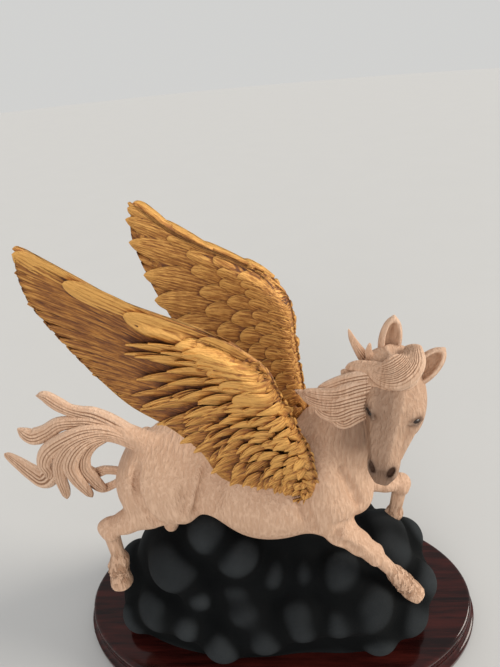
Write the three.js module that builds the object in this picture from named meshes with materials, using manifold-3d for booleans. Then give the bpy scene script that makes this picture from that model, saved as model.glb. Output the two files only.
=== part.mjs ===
// Winged horse ornament: a cast resin horse with gilt wings leaps over a black cloud on an oval wooden plinth.
// Millimetres, +Z up. The origin is the middle of the face that the ornament stands on.
// The horse faces +X, its right side faces -Y, and its head is turned to the right.
import * as THREE from "three";
import { mergeVertices } from "three/addons/utils/BufferGeometryUtils.js";
import Module from "manifold-3d";

const wasm = await Module();
wasm.setup();

// Fits between the pieces
const GLUE_GAP = 0.3;
const PIN_CLEARANCE = 0.3;

// Plinth and what is under it
const PLINTH_LENGTH = 300;
const PLINTH_WIDTH = 160;
const PLINTH_HEIGHT = 22;
const FOOT_FLARE = 4;
const COVE_DEPTH = 3;
const BAIZE_THICKNESS = 1.5;
const BAIZE_MARGIN = 5;
const SCREW_LENGTH = 34;
const SCREW_RADIUS = 2;
const SCREW_HEAD_RADIUS = 4;
const SCREW_HEAD_HEIGHT = 2.4;
const SCREW_SPACING = 75;

// Cloud
const CLOUD_LENGTH = 256;
const CLOUD_WIDTH = 120;
const CLOUD_HEIGHT = 116;
const CLOUD_CREST_X = -36;
const LUMP_RADIUS = 20;
const LUMP_BLEND = 8;

// Horse: trunk
const BODY_LENGTH = 170;
const BARREL_WIDTH = 70;
const BARREL_DEPTH = 70;
const BODY_RISE = 127;
const BODY_SHIFT = -17;

// Horse: neck, head, ears and hair
const POLL_REACH = 8;
const POLL_TURN = 17;
const POLL_RISE = 103;
const NECK_WIDTH = 46;
const NECK_DEPTH = 66;
const NECK_ARCH = 40;
const HEAD_LENGTH = 66;
const HEAD_WIDTH = 30;
const HEAD_DEPTH = 33;
const EAR_LENGTH = 19;
const EAR_WIDTH = 9.5;
const MANE_LOCK_WIDTH = 13;
const CREST_LOCK_WIDTH = 8;
const FORELOCK_WIDTH = 16;
const TAIL_LOCK_WIDTH = 13;

// Horse: legs, as bone lengths and half thicknesses
const FOREARM_LENGTH = 47;
const FORE_CANNON_LENGTH = 30;
const GASKIN_LENGTH = 54;
const HIND_CANNON_LENGTH = 34;
const PASTERN_LENGTH = 13;
const HOOF_LENGTH = 12;
const FOREARM_RADIUS = 11;
const GASKIN_RADIUS = 12;
const KNEE_RADIUS = 6.4;
const CANNON_RADIUS = 4.8;
const FETLOCK_RADIUS = 6.2;
const HOOF_RADIUS = 7.6;

// Wings: each is set by hand, so the two differ a little in size and in the place of the wrist
const RIGHT_WING_SPAN = 167;
const RIGHT_WING_CHORD = 112;
const RIGHT_WRIST_SET = 0.1;
const LEFT_WING_SPAN = 147;
const LEFT_WING_CHORD = 104;
const LEFT_WRIST_SET = 0;
const WING_SEAT_X = 28;
const WING_SEAT_RISE = 25;
const WING_STANDOFF = 30;
const WING_LEAN = 0.22;
const WING_ARM_RADIUS = 6;
const VANE_THICKNESS = 3;
const FEATHER_THICKNESS = 3;
const FLIGHT_FEATHERS = 11;
const FLIGHT_FEATHER_WIDTH = 15;
const COVERTS_IN_ROW = 7;
const COVERT_WIDTH = 15;
const COVERT_STEP = 2;

// Steel pins
const MOUNT_PIN_RADIUS = 3;
const MOUNT_PIN_LENGTH = 50;
const MOUNT_PIN_SPACING = 44;
const LEG_PIN_RADIUS = 1.5;
const LEG_PIN_LENGTH = 22;
const TAIL_PIN_LENGTH = 28;
const WING_PIN_RADIUS = 2;
const WING_PIN_LENGTH = 40;

// Finishes
const creamResin = new THREE.MeshStandardMaterial({ color: 0xd9b595, roughness: 0.75, metalness: 0 });
const giltResin = new THREE.MeshStandardMaterial({ color: 0xb0762c, roughness: 0.4, metalness: 0.6 });
const blackFlock = new THREE.MeshStandardMaterial({ color: 0x1d2022, roughness: 0.95, metalness: 0 });
const mahogany = new THREE.MeshStandardMaterial({ color: 0x2c0f10, roughness: 0.15, metalness: 0 });
const greenBaize = new THREE.MeshStandardMaterial({ color: 0x1f3d2a, roughness: 1, metalness: 0 });
const steel = new THREE.MeshStandardMaterial({ color: 0x9a9ca0, roughness: 0.35, metalness: 1 });

// Solids

const v = (x, y, z) => new THREE.Vector3(x, y, z);
const UP = v(0, 0, 1);

function closedSolid(positions, index) {
  const build = (triVerts) =>
    new wasm.Manifold(
      new wasm.Mesh({
        numProp: 3,
        vertProperties: new Float32Array(positions),
        triVerts: new Uint32Array(triVerts),
      }),
    );
  const made = build(index);
  return made.volume() > 0 ? made : build(index.toReversed());
}

function solidOf(geometry) {
  geometry.deleteAttribute("normal");
  geometry.deleteAttribute("uv");
  const merged = mergeVertices(geometry, 1e-4);
  return closedSolid([...merged.attributes.position.array], [...merged.index.array]);
}

function fuse(solids) {
  return solids.reduce((whole, next) => whole.add(next));
}

function geometryOf(solid) {
  const mesh = solid.getMesh();
  const geometry = new THREE.BufferGeometry();
  const corners = new Float32Array(mesh.numVert * 3);
  for (let i = 0; i < mesh.numVert; i += 1) {
    for (let k = 0; k < 3; k += 1) corners[3 * i + k] = mesh.vertProperties[mesh.numProp * i + k];
  }
  geometry.setAttribute("position", new THREE.BufferAttribute(corners, 3));
  geometry.setIndex(new THREE.BufferAttribute(new Uint32Array(mesh.triVerts), 1));
  geometry.computeVertexNormals();
  return geometry;
}

function piece(name, solid, material) {
  const mesh = new THREE.Mesh(geometryOf(solid), material);
  mesh.name = name;
  return mesh;
}

// A skin through rings of equally many points, closed by a fan at each end.
function skin(rings) {
  const count = rings[0].length;
  const positions = rings.flat().flatMap((p) => [p.x, p.y, p.z]);
  const index = [];
  for (let i = 0; i + 1 < rings.length; i += 1) {
    for (let j = 0; j < count; j += 1) {
      const a = i * count + j;
      const b = i * count + ((j + 1) % count);
      index.push(a, b, b + count, a, b + count, a + count);
    }
  }
  const cap = (start, flipped) => {
    const middle = v(0, 0, 0);
    for (let j = 0; j < count; j += 1) {
      middle.add(v(...positions.slice(3 * (start + j), 3 * (start + j) + 3)));
    }
    middle.divideScalar(count);
    const centre = positions.length / 3;
    positions.push(middle.x, middle.y, middle.z);
    for (let j = 0; j < count; j += 1) {
      const a = start + j;
      const b = start + ((j + 1) % count);
      index.push(...(flipped ? [centre, b, a] : [centre, a, b]));
    }
  };
  cap(0, true);
  cap((rings.length - 1) * count, false);
  return closedSolid(positions, index);
}

// A loft along a smooth spine. Each section is { at, wide, top, low }: its centre, and its half sizes to the
// sides, towards the up vector and away from it. All half sizes, and both ends, grow by the same amount.
function loft(sections, { up = UP, sides = 12, steps = 12, grow = 0 }) {
  const spine = new THREE.CatmullRomCurve3(sections.map((s) => s.at));
  const sizes = new THREE.CatmullRomCurve3(sections.map((s) => v(s.wide, s.top, s.low ?? s.top)));
  const rings = [];
  for (let i = 0; i <= steps; i += 1) {
    const t = i / steps;
    const along = spine.getTangent(t);
    const across = along.clone().cross(up).normalize();
    const upward = across.clone().cross(along).normalize();
    const half = sizes.getPoint(t);
    const centre = spine.getPoint(t);
    if (i === 0) centre.addScaledVector(along, -grow);
    if (i === steps) centre.addScaledVector(along, grow);
    const ring = [];
    for (let j = 0; j < sides; j += 1) {
      const turn = (2 * Math.PI * j) / sides;
      const rise = Math.sin(turn) > 0 ? half.y : half.z;
      ring.push(
        centre
          .clone()
          .addScaledVector(across, (half.x + grow) * Math.cos(turn))
          .addScaledVector(upward, (rise + grow) * Math.sin(turn)),
      );
    }
    rings.push(ring);
  }
  return skin(rings);
}

// A round rod between two points.
function rod(from, to, radius, endRadius = radius) {
  const ROD_SIDES = 8;
  const length = from.distanceTo(to);
  const made = new THREE.CylinderGeometry(endRadius, radius, length, ROD_SIDES);
  const turn = new THREE.Quaternion().setFromUnitVectors(v(0, 1, 0), to.clone().sub(from).divideScalar(length));
  made.applyQuaternion(turn);
  const middle = from.clone().add(to).multiplyScalar(0.5);
  made.translate(middle.x, middle.y, middle.z);
  return solidOf(made);
}

// A rod's bore is wider by the clearance and longer by it at both ends.
function bore(from, to, radius, clearance = PIN_CLEARANCE) {
  const reach = to.clone().sub(from).setLength(clearance);
  return rod(from.clone().sub(reach), to.clone().add(reach), radius + clearance);
}

// Plinth: an oval board with a moulded edge, a baize sheet under it and three screws up into the cloud

const PLINTH_FOOT = BAIZE_THICKNESS + GLUE_GAP;
const PLINTH_TOP = PLINTH_FOOT + PLINTH_HEIGHT;
const OVAL_SIDES = 36;

function ovalRing(inset, z) {
  const ring = [];
  for (let j = 0; j < OVAL_SIDES; j += 1) {
    const turn = (2 * Math.PI * j) / OVAL_SIDES;
    ring.push(v((PLINTH_LENGTH / 2 - inset) * Math.cos(turn), (PLINTH_WIDTH / 2 - inset) * Math.sin(turn), z));
  }
  return ring;
}

const screwPlaces = [-1, 0, 1].map((place) => v(BODY_SHIFT + place * SCREW_SPACING, 0, PLINTH_FOOT));

function screw(place, clearance = 0) {
  const headTop = place.clone().addScaledVector(UP, SCREW_HEAD_HEIGHT);
  const tip = place.clone().addScaledVector(UP, SCREW_LENGTH + clearance);
  const below = place.clone().addScaledVector(UP, -clearance);
  const shankFoot = headTop.clone().addScaledVector(UP, -SCREW_HEAD_HEIGHT / 2);
  const head = rod(below, headTop, SCREW_HEAD_RADIUS + clearance, SCREW_RADIUS + clearance);
  return head.add(rod(shankFoot, tip, SCREW_RADIUS + clearance));
}

const screwBores = fuse(screwPlaces.map((place) => screw(place, PIN_CLEARANCE)));

// The edge rises from a flared foot through an ogee and a cove to a rounded rim.
function plinth() {
  const edge = [
    [-FOOT_FLARE, 0],
    [-FOOT_FLARE, 0.22],
    [-0.7 * FOOT_FLARE, 0.31],
    [-0.1 * FOOT_FLARE, 0.37],
    [0, 0.45],
    [0.7 * COVE_DEPTH, 0.5],
    [COVE_DEPTH, 0.58],
    [0.7 * COVE_DEPTH, 0.66],
    [0, 0.71],
    [0, 0.9],
    [0.35 * COVE_DEPTH, 0.98],
    [COVE_DEPTH, 1],
  ];
  const rings = edge.map(([inset, share]) => ovalRing(inset, PLINTH_FOOT + share * PLINTH_HEIGHT));
  return skin(rings).subtract(screwBores);
}

function baize() {
  const inset = BAIZE_MARGIN - FOOT_FLARE;
  return skin([ovalRing(inset, 0), ovalRing(inset, BAIZE_THICKNESS)]);
}

// Trunk: places are told from the point of buttock (0) to the breast (1), and in half widths and half depths

const FIGURE_FOOT = PLINTH_TOP + GLUE_GAP;
const BODY_AXIS = FIGURE_FOOT + BODY_RISE;
const BUTTOCK_X = BODY_SHIFT - BODY_LENGTH / 2;

function onTrunk(along, aside, above) {
  return v(
    BUTTOCK_X + along * BODY_LENGTH,
    (aside * BARREL_WIDTH) / 2,
    BODY_AXIS + (above * BARREL_DEPTH) / 2,
  );
}

function trunkSection([along, above, wide, top, low]) {
  return {
    at: onTrunk(along, 0, above),
    wide: (wide * BARREL_WIDTH) / 2,
    top: (top * BARREL_DEPTH) / 2,
    low: (low * BARREL_DEPTH) / 2,
  };
}

function trunk(grow) {
  const stations = [
    [0, 0, 0.2, 0.2, 0.25],
    [0.04, 0.05, 0.6, 0.62, 0.6],
    [0.14, 0.05, 0.88, 0.95, 0.8],
    [0.28, 0.02, 0.94, 1, 0.62],
    [0.4, 0, 0.94, 0.93, 0.58],
    [0.52, -0.02, 0.97, 0.9, 0.88],
    [0.64, -0.02, 1, 0.92, 1.06],
    [0.77, 0, 0.98, 1, 1.06],
    [0.88, 0, 0.84, 0.98, 0.9],
    [0.96, -0.05, 0.56, 0.7, 0.6],
    [1, -0.08, 0.2, 0.25, 0.25],
  ];
  return loft(stations.map(trunkSection), { sides: 14, steps: 14, grow });
}

// The rounded muscle over each hip and each shoulder, told from the trunk.
function muscle(side, stations, grow) {
  const sections = stations.map(([along, aside, above, wide, deep]) => ({
    at: onTrunk(along, side * aside, above),
    wide: (wide * BARREL_DEPTH) / 2,
    top: (deep * BARREL_WIDTH) / 2,
  }));
  return loft(sections, { up: v(0, side, 0), sides: 10, steps: 6, grow });
}

const haunchStations = [
  [0.2, 0.3, 0.72, 0.4, 0.35],
  [0.19, 0.46, 0.4, 0.75, 0.5],
  [0.2, 0.6, 0, 0.74, 0.45],
  [0.22, 0.72, -0.36, 0.5, 0.36],
  [0.22, 0.76, -0.6, 0.3, 0.26],
];
const shoulderStations = [
  [0.8, 0.3, 0.7, 0.3, 0.3],
  [0.82, 0.52, 0.35, 0.55, 0.42],
  [0.84, 0.62, -0.1, 0.55, 0.4],
  [0.83, 0.7, -0.5, 0.42, 0.34],
  [0.83, 0.74, -0.75, 0.22, 0.22],
];

// Neck and head: the head hangs from the poll and is turned to the horse's right

const poll = onTrunk(1, 0, 0).add(v(POLL_REACH, -POLL_TURN, POLL_RISE));
const headAxis = v(-0.167, -0.44, -0.881).normalize();
const faceNormal = v(-0.468, -0.752, 0.464).normalize();
const headSide = headAxis.clone().cross(faceNormal).normalize();
const faceUp = headSide.clone().cross(headAxis).normalize();

function onHead(along, aside, above) {
  return poll
    .clone()
    .addScaledVector(headAxis, along * HEAD_LENGTH)
    .addScaledVector(headSide, (aside * HEAD_WIDTH) / 2)
    .addScaledVector(faceUp, (above * HEAD_DEPTH) / 2);
}

function neck(grow) {
  const base = onTrunk(0.8, 0, 0.2);
  const stations = [
    [0, 0, 0.9, 0.95],
    [0.25, 0.1, 0.86, 0.92],
    [0.5, 0.1, 0.72, 0.75],
    [0.75, 0.06, 0.58, 0.58],
    [0.93, 0, 0.5, 0.46],
    [1.03, 0, 0.3, 0.26],
  ];
  const sections = stations.map(([share, arch, wide, deep]) => ({
    at: base.clone().lerp(poll, share).add(v(arch * NECK_ARCH, 0, 0)),
    wide: (wide * NECK_WIDTH) / 2,
    top: (deep * NECK_DEPTH) / 2,
  }));
  return loft(sections, { up: v(-1, 0, 0.4), sides: 12, steps: 8, grow });
}

function head(grow) {
  const stations = [
    [-0.08, -0.25, 0.35, 0.35, 0.4],
    [0, -0.12, 0.68, 0.62, 0.8],
    [0.14, -0.08, 0.86, 0.76, 1.05],
    [0.3, -0.02, 0.96, 0.76, 1.12],
    [0.45, 0.03, 0.9, 0.68, 1.05],
    [0.6, 0.05, 0.76, 0.57, 0.82],
    [0.75, 0.05, 0.6, 0.5, 0.63],
    [0.88, 0.03, 0.56, 0.46, 0.54],
    [0.97, -0.02, 0.5, 0.4, 0.47],
    [1.05, -0.06, 0.25, 0.22, 0.25],
  ];
  const sections = stations.map(([along, above, wide, top, low]) => ({
    at: onHead(along, 0, above),
    wide: (wide * HEAD_WIDTH) / 2,
    top: (top * HEAD_DEPTH) / 2,
    low: (low * HEAD_DEPTH) / 2,
  }));
  return loft(sections, { up: faceUp, sides: 12, steps: 14, grow });
}

// Ears: the root of each, told from the poll, and the way that it points
const ears = [
  { root: v(-4.5, 5, -4), points: v(0, 3, 18) },
  { root: v(8, -4, -13), points: v(12, 1, 15) },
];

function ear({ root, points }) {
  const start = poll.clone().add(root);
  const rise = points.clone().normalize();
  const stations = [
    [-0.2, 0.6],
    [0.15, 0.85],
    [0.45, 1],
    [0.75, 0.7],
    [0.95, 0.28],
    [1, 0.1],
  ];
  const sections = stations.map(([share, wide]) => ({
    at: start.clone().addScaledVector(rise, share * EAR_LENGTH),
    wide: (wide * EAR_WIDTH) / 2,
    top: (wide * EAR_WIDTH) / 4,
  }));
  return loft(sections, { up: v(0, -1, 0.2), sides: 6, steps: 5 });
}

// A lock of hair tapers along a curve. It is wide across the up vector and thinner along it.
function lock(points, width, up, { sides = 6, steps = 5, flat = 0.55 } = {}) {
  const taper = points.map((_, i) => {
    const share = i / (points.length - 1);
    return 0.14 + 0.86 * Math.sin(Math.PI * (0.28 + 0.7 * share));
  });
  const sections = points.map((at, i) => ({
    at,
    wide: (taper[i] * width) / 2,
    top: (flat * taper[i] * width) / 2,
  }));
  return loft(sections, { up, sides, steps });
}

// Mane: locks blow back over the right side of the neck, with two on the left, told from the poll
const maneLocks = [
  [[-10, -6, -9], [-23, -8, -11], [-33, -5, -15], [-46, -1, -21]],
  [[-11, -7, -16], [-25, -9, -18], [-38, -6, -23], [-55, -1, -22]],
  [[-12, -8, -23], [-25, -10, -26], [-36, -7, -31], [-47, -3, -28]],
  [[-13, -7, -30], [-24, -10, -34], [-32, -9, -36], [-42, -5, -31]],
  [[-18, 5, -9], [-28, 13, -18], [-38, 17, -28], [-52, 18, -38]],
  [[-30, 8, -26], [-37, 17, -38], [-43, 22, -48], [-54, 25, -60]],
];
const crestLock = [[-13, 6, -7], [-17, 4, -2], [-21, 3, 5], [-26, 3, 17]];
const forelocks = [
  [[8, -2, -2], [2, -11, 5], [-4, -16, 3], [-11, -13, 2], [-18, -9, 1], [-28, -4, -2]],
  [[6, -6, -4], [1, -14, -3], [-8, -13, -6], [-17, -8, -7], [-27, -3, -7]],
];

function hair() {
  const place = (offset) => poll.clone().add(v(...offset));
  const mane = maneLocks.map((points) => lock(points.map(place), MANE_LOCK_WIDTH, v(0, -1, 0.3)));
  const crest = lock(crestLock.map(place), CREST_LOCK_WIDTH, v(0, -1, 0.3));
  const fringe = forelocks.map((points) => lock(points.map(place), FORELOCK_WIDTH, faceUp));
  return [...mane, crest, ...fringe];
}

// The horse's main casting, without its hair and ears, grown to cut the pieces that seat on it.
function mainForm(grow) {
  return fuse([
    trunk(grow),
    ...[-1, 1].flatMap((side) => [muscle(side, haunchStations, grow), muscle(side, shoulderStations, grow)]),
    neck(grow),
    head(grow),
  ]);
}

const seatCutter = mainForm(GLUE_GAP);

// Legs: each is an upper bone from inside the trunk to the knee or hock, and a lower leg down to the hoof.
// The seat is how far along the upper bone the leg leaves the trunk.

const fore = { upper: FOREARM_LENGTH, cannon: FORE_CANNON_LENGTH, girth: FOREARM_RADIUS };
const hind = { upper: GASKIN_LENGTH, cannon: HIND_CANNON_LENGTH, girth: GASKIN_RADIUS };
const legs = {
  right_foreleg: {
    ...fore,
    start: onTrunk(0.79, -0.745, -0.27),
    seat: 27,
    turns: [v(26, -3, -25), v(16, 0, -22), v(9, 0, -13), v(8, 0, -13)],
  },
  left_foreleg: {
    ...fore,
    start: onTrunk(0.9, 0.36, -0.42),
    seat: 14,
    turns: [v(44, 5, -15), v(-3, -1, -34), v(-7, -3, -10), v(-7, -3, -12)],
  },
  right_hind_leg: {
    ...hind,
    start: onTrunk(0.285, -0.6, -0.2),
    seat: 28,
    turns: [v(-53, -5, -3), v(2, -2, -34), v(-1, -1, -10), v(2, -1, -11)],
  },
  left_hind_leg: {
    ...hind,
    start: onTrunk(0.265, 0.6, 0.04),
    seat: 33,
    turns: [v(-24, 14, -34), v(8, 8, -31), v(6, 2, -9), v(9, 1, -8)],
  },
};

function legJoints({ start, upper, cannon, turns }) {
  const lengths = [upper, cannon, PASTERN_LENGTH, HOOF_LENGTH];
  const joints = [start];
  turns.forEach((turn, i) => {
    joints.push(joints[i].clone().addScaledVector(turn.clone().normalize(), lengths[i]));
  });
  return joints;
}

function leg(spec, grow = 0) {
  const [start, knee, fetlock, coronet, toe] = legJoints(spec);
  const round = (at, radius) => ({ at, wide: radius, top: radius });
  const between = (a, b, share) => a.clone().lerp(b, share);
  const side = v(0, 1, 0);
  const upper = loft(
    [
      round(start, 0.4 * spec.girth),
      round(between(start, knee, 0.3), 0.9 * spec.girth),
      round(between(start, knee, 0.62), 0.5 * (spec.girth + KNEE_RADIUS)),
      round(between(start, knee, 0.88), KNEE_RADIUS),
      round(between(start, knee, 1.1), 0.75 * KNEE_RADIUS),
    ],
    { up: side, sides: 8, steps: 5, grow },
  );
  const lower = loft(
    [
      round(between(knee, fetlock, -0.14), 0.7 * KNEE_RADIUS),
      round(between(knee, fetlock, 0.05), KNEE_RADIUS),
      round(between(knee, fetlock, 0.3), 1.08 * CANNON_RADIUS),
      round(between(knee, fetlock, 0.7), CANNON_RADIUS),
      round(fetlock, FETLOCK_RADIUS),
      round(between(fetlock, coronet, 0.5), 0.84 * FETLOCK_RADIUS),
      round(coronet, 0.86 * HOOF_RADIUS),
      round(toe, HOOF_RADIUS),
    ],
    { up: side, sides: 8, steps: 10, grow },
  );
  return upper.add(lower);
}

// The pin runs along the upper bone, half of it in the trunk.
function legPinEnds({ start, seat, turns }) {
  const along = turns[0].clone().normalize();
  return [-0.5, 0.5].map((end) => start.clone().addScaledVector(along, seat + end * LEG_PIN_LENGTH));
}

// Tail: told from the dock, in millimetres
const dock = onTrunk(0.09, 0, 0.98);
const tailLocks = [
  [[10, 0, 2], [-7, 0, 15], [-18, 0, 23], [-27, 0, 26], [-34, 0, 29], [-40, 0, 34], [-46, 0, 40], [-52, 0, 41]],
  [[8, -1, 2], [-8, -2, 14], [-20, -3, 20], [-31, -3, 21], [-42, -3, 20], [-52, -3, 14], [-62, -3, 11], [-70, -3, 18]],
  [[8, -1, 1], [-8, -4, 13], [-22, -7, 17], [-38, -9, 12], [-51, -9, 3], [-57, -9, -7], [-60, -8, -22]],
  [[8, -1, 0], [-8, -5, 12], [-22, -9, 14], [-36, -11, 8], [-45, -12, -4], [-48, -12, -17], [-50, -11, -39]],
  [[8, -1, 0], [-8, -5, 11], [-20, -9, 12], [-31, -12, 6], [-38, -13, -6], [-37, -13, -18], [-32, -11, -38]],
  [[8, -1, 0], [-8, -4, 10], [-18, -8, 9], [-27, -10, 1], [-31, -10, -11], [-29, -9, -21], [-23, -8, -36]],
  [[-26, -4, 10], [-46, -5, -2], [-57, -4, -19], [-66, -3, -27], [-73, -3, -21], [-79, -3, -13], [-86, -3, -3]],
  [[-34, -6, -14], [-28, -5, -21], [-20, -4, -20], [-8, -3, -23]],
  [[-31, -7, -29], [-26, -6, -35], [-18, -5, -33], [-8, -4, -27]],
];

function tail() {
  const place = (offset) => dock.clone().add(v(...offset));
  const locks = tailLocks.map((points) =>
    lock(points.map(place), TAIL_LOCK_WIDTH, v(0, -1, 0.2), { steps: 8, flat: 0.6 }),
  );
  return fuse(locks).subtract(seatCutter);
}

const tailSet = v(-22, 0, 17).normalize();
const tailPinEnds = [-0.5, 0.5].map((end) => dock.clone().addScaledVector(tailSet, end * TAIL_PIN_LENGTH));

// Wings: a place is told as shares of the chord, backwards from the seat, and of the span, upwards from it

const planCurve = (points) => new THREE.CatmullRomCurve3(points.map(([back, rise]) => v(back, rise, 0)));
const trailingLine = planCurve([
  [0.06, -0.03],
  [0.24, -0.02],
  [0.45, 0.05],
  [0.53, 0.22],
  [0.64, 0.35],
  [0.78, 0.46],
  [0.87, 0.58],
  [0.94, 0.7],
  [1, 0.84],
  [1, 0.93],
  [0.97, 1],
]);

function wingPlan({ wristSet }) {
  const leadingLine = planCurve([
    [0, -0.06],
    [0.04, 0.2],
    [0.07 + 0.5 * wristSet, 0.4],
    [0.07 + wristSet, 0.56],
    [0.16 + wristSet, 0.65],
    [0.36 + 0.6 * wristSet, 0.73],
    [0.65 + 0.4 * wristSet, 0.83],
    [0.84, 0.92],
    [0.96, 1],
  ]);
  const armLine = planCurve([
    [0.02, -0.06],
    [0.07, 0.2],
    [0.1 + 0.5 * wristSet, 0.38],
    [0.12 + wristSet, 0.53],
    [0.22 + wristSet, 0.63],
    [0.4 + 0.6 * wristSet, 0.71],
    [0.58 + 0.4 * wristSet, 0.77],
  ]);
  return { leadingLine, armLine };
}

const wings = {
  right_wing: {
    side: -1,
    span: RIGHT_WING_SPAN,
    chord: RIGHT_WING_CHORD,
    ...wingPlan({ wristSet: RIGHT_WRIST_SET }),
  },
  left_wing: {
    side: 1,
    span: LEFT_WING_SPAN,
    chord: LEFT_WING_CHORD,
    ...wingPlan({ wristSet: LEFT_WRIST_SET }),
  },
};

function onWing({ side, span, chord }, place, lift = 0) {
  const out = WING_STANDOFF + WING_LEAN * place.y * span + lift;
  return v(WING_SEAT_X - place.x * chord, side * out, BODY_AXIS + WING_SEAT_RISE + place.y * span);
}

// The vane is the plate that the feathers lie on, from the leading edge almost to the feather tips.
function vane(wing) {
  const STATIONS = 12;
  const TIP_SHARE = 0.97;
  const profile = [
    [0, 0.5],
    [0.3, 0.5],
    [0.65, 0.4],
    [0.9, 0.15],
  ];
  const rings = [];
  for (let i = 0; i <= STATIONS; i += 1) {
    const share = (TIP_SHARE * i) / STATIONS;
    const lead = wing.leadingLine.getPoint(share);
    const trail = trailingLine.getPoint(share);
    const point = (face) => ([across, thick]) =>
      onWing(wing, lead.clone().lerp(trail, across), face * thick * VANE_THICKNESS);
    rings.push([...profile.map(point(1)), ...profile.toReversed().map(point(-1))]);
  }
  return skin(rings);
}

// Feathers on the hand sweep towards the wing tip: for a share of the arm, the share of the trailing edge.
const sweep = planCurve([
  [0, 0],
  [0.3, 0.34],
  [0.5, 0.6],
  [0.6, 0.76],
  [0.8, 0.93],
  [1, 1],
]).getPoints(60);

function swept(share) {
  const next = sweep.findIndex((point) => point.x >= share);
  return next < 0 ? 1 : sweep[next].y;
}

// A feather lies along the vane: raised along its quill, rounded at its tip and solid down to its foot.
// Its edges are lifted from the middle of the vane, more so at the tip.
// Stations run from root to tip: the share of the length, of the width and of the thickness.
function feather(wing, root, tip, width, { stations, face, lift, rise = 0, foot }) {
  const start = onWing(wing, root);
  const end = onWing(wing, tip);
  const outward = v(0, wing.side, -WING_LEAN).setLength(face);
  const across = end.clone().sub(start).cross(outward).normalize();
  const rings = stations.map(([share, wide, thick]) => {
    const centre = start.clone().lerp(end, share);
    const edge = centre.clone().addScaledVector(outward, lift + rise * share);
    const base = centre.clone().addScaledVector(outward, foot);
    const half = (wide * width) / 2;
    return [
      edge.clone().addScaledVector(across, half),
      edge.clone().addScaledVector(outward, (thick * FEATHER_THICKNESS) / 2),
      edge.clone().addScaledVector(across, -half),
      base.clone().addScaledVector(across, -half),
      base.clone().addScaledVector(across, half),
    ];
  });
  return skin(rings);
}

// Flight feathers fan from the arm to the trailing edge and show on both faces, every other one further out.
function flightFeathers(wing) {
  const FIRST_SHARE = 0.96;
  const STAGGER = 0.013;
  const stations = [
    [0, 0.65, 0.8],
    [0.55, 1, 1],
    [0.88, 0.72, 0.8],
    [1, 0.16, 0.4],
  ];
  const made = [];
  for (let i = 0; i < FLIGHT_FEATHERS; i += 1) {
    const share = FIRST_SHARE * (1 - i / (FLIGHT_FEATHERS - 1));
    const lift = ((i % 2 ? 0.2 : -0.2) + STAGGER * i) * FEATHER_THICKNESS;
    const foot = lift - (0.5 + 0.01 * i) * FEATHER_THICKNESS;
    const root = wing.armLine.getPoint(share);
    const tip = trailingLine.getPoint(swept(share));
    made.push(feather(wing, root, tip, FLIGHT_FEATHER_WIDTH, { stations, face: 1, lift, foot }));
  }
  return made;
}

// Coverts overlap the flight feathers like tiles, in rows on both faces, each row shorter and further out.
// A row is told by its reach towards the trailing edge. The outer face stands higher than the inner one.
// Neighbours are staggered a little, so that no two of them lie in one plane.
function coverts(wing) {
  const stations = [
    [0, 0.5, 0.5],
    [0.68, 1, 1],
    [1, 0.34, 0.6],
  ];
  const rows = [0.68, 0.45, 0.24];
  const FIRST_SHARE = 0.84;
  const SPREAD = 0.8;
  const STAGGER = 0.02;
  const made = [];
  for (const [face, height] of [[-1, 0.55], [1, 1]]) {
    rows.forEach((reach, row) => {
      for (let i = 0; i < COVERTS_IN_ROW; i += 1) {
        const share = FIRST_SHARE - (SPREAD * (i + 0.5 * (row % 2))) / (COVERTS_IN_ROW - 0.5);
        const root = wing.armLine.getPoint(share + STAGGER * (0.6 * row + 0.3 * face));
        const ahead = swept(share);
        const tip = wing.armLine.getPoint(ahead).lerp(trailingLine.getPoint(ahead), reach);
        const turn = STAGGER * i + (i % 2 ? 0.2 : 0);
        const lift = (0.3 + turn) * FEATHER_THICKNESS + 0.6 * row * height * COVERT_STEP;
        const rise = height * COVERT_STEP;
        const foot = (-0.1 - STAGGER * (i + 0.35 * row)) * VANE_THICKNESS;
        made.push(feather(wing, root, tip, COVERT_WIDTH, { stations, face, lift, rise, foot }));
      }
    });
  }
  return made;
}

function wingArm(wing) {
  const stations = [
    [0, 1.1],
    [0.2, 1.15],
    [0.5, 1.05],
    [0.68, 1],
    [0.85, 0.75],
    [1, 0.4],
  ];
  const sections = stations.map(([share, thick]) => ({
    at: onWing(wing, wing.armLine.getPoint(share)),
    wide: thick * WING_ARM_RADIUS,
    top: 0.75 * thick * WING_ARM_RADIUS,
  }));
  return loft(sections, { up: v(0, wing.side, 0), sides: 8, steps: 10 });
}

// The pin runs along the arm, half of it in the shoulder.
function wingPinEnds(wing) {
  const seat = onWing(wing, wing.armLine.getPoint(0.06));
  const reach = onWing(wing, wing.armLine.getPoint(0.16)).sub(seat).setLength(WING_PIN_LENGTH / 2);
  return [seat.clone().sub(reach), seat.clone().add(reach)];
}

function wingSolid(wing) {
  return fuse([vane(wing), wingArm(wing), ...flightFeathers(wing), ...coverts(wing)])
    .subtract(seatCutter)
    .subtract(bore(...wingPinEnds(wing), WING_PIN_RADIUS));
}

// Cloud: soft lumps on a mound under the belly, cut by the horse that sinks into it

function mountPinEnds(end) {
  const seat = onTrunk(0.6, 0, -0.95).add(v((end * MOUNT_PIN_SPACING) / 2, 0, 0));
  const reach = v(0, 0, MOUNT_PIN_LENGTH / 2);
  return [seat.clone().sub(reach), seat.clone().add(reach)];
}

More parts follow.
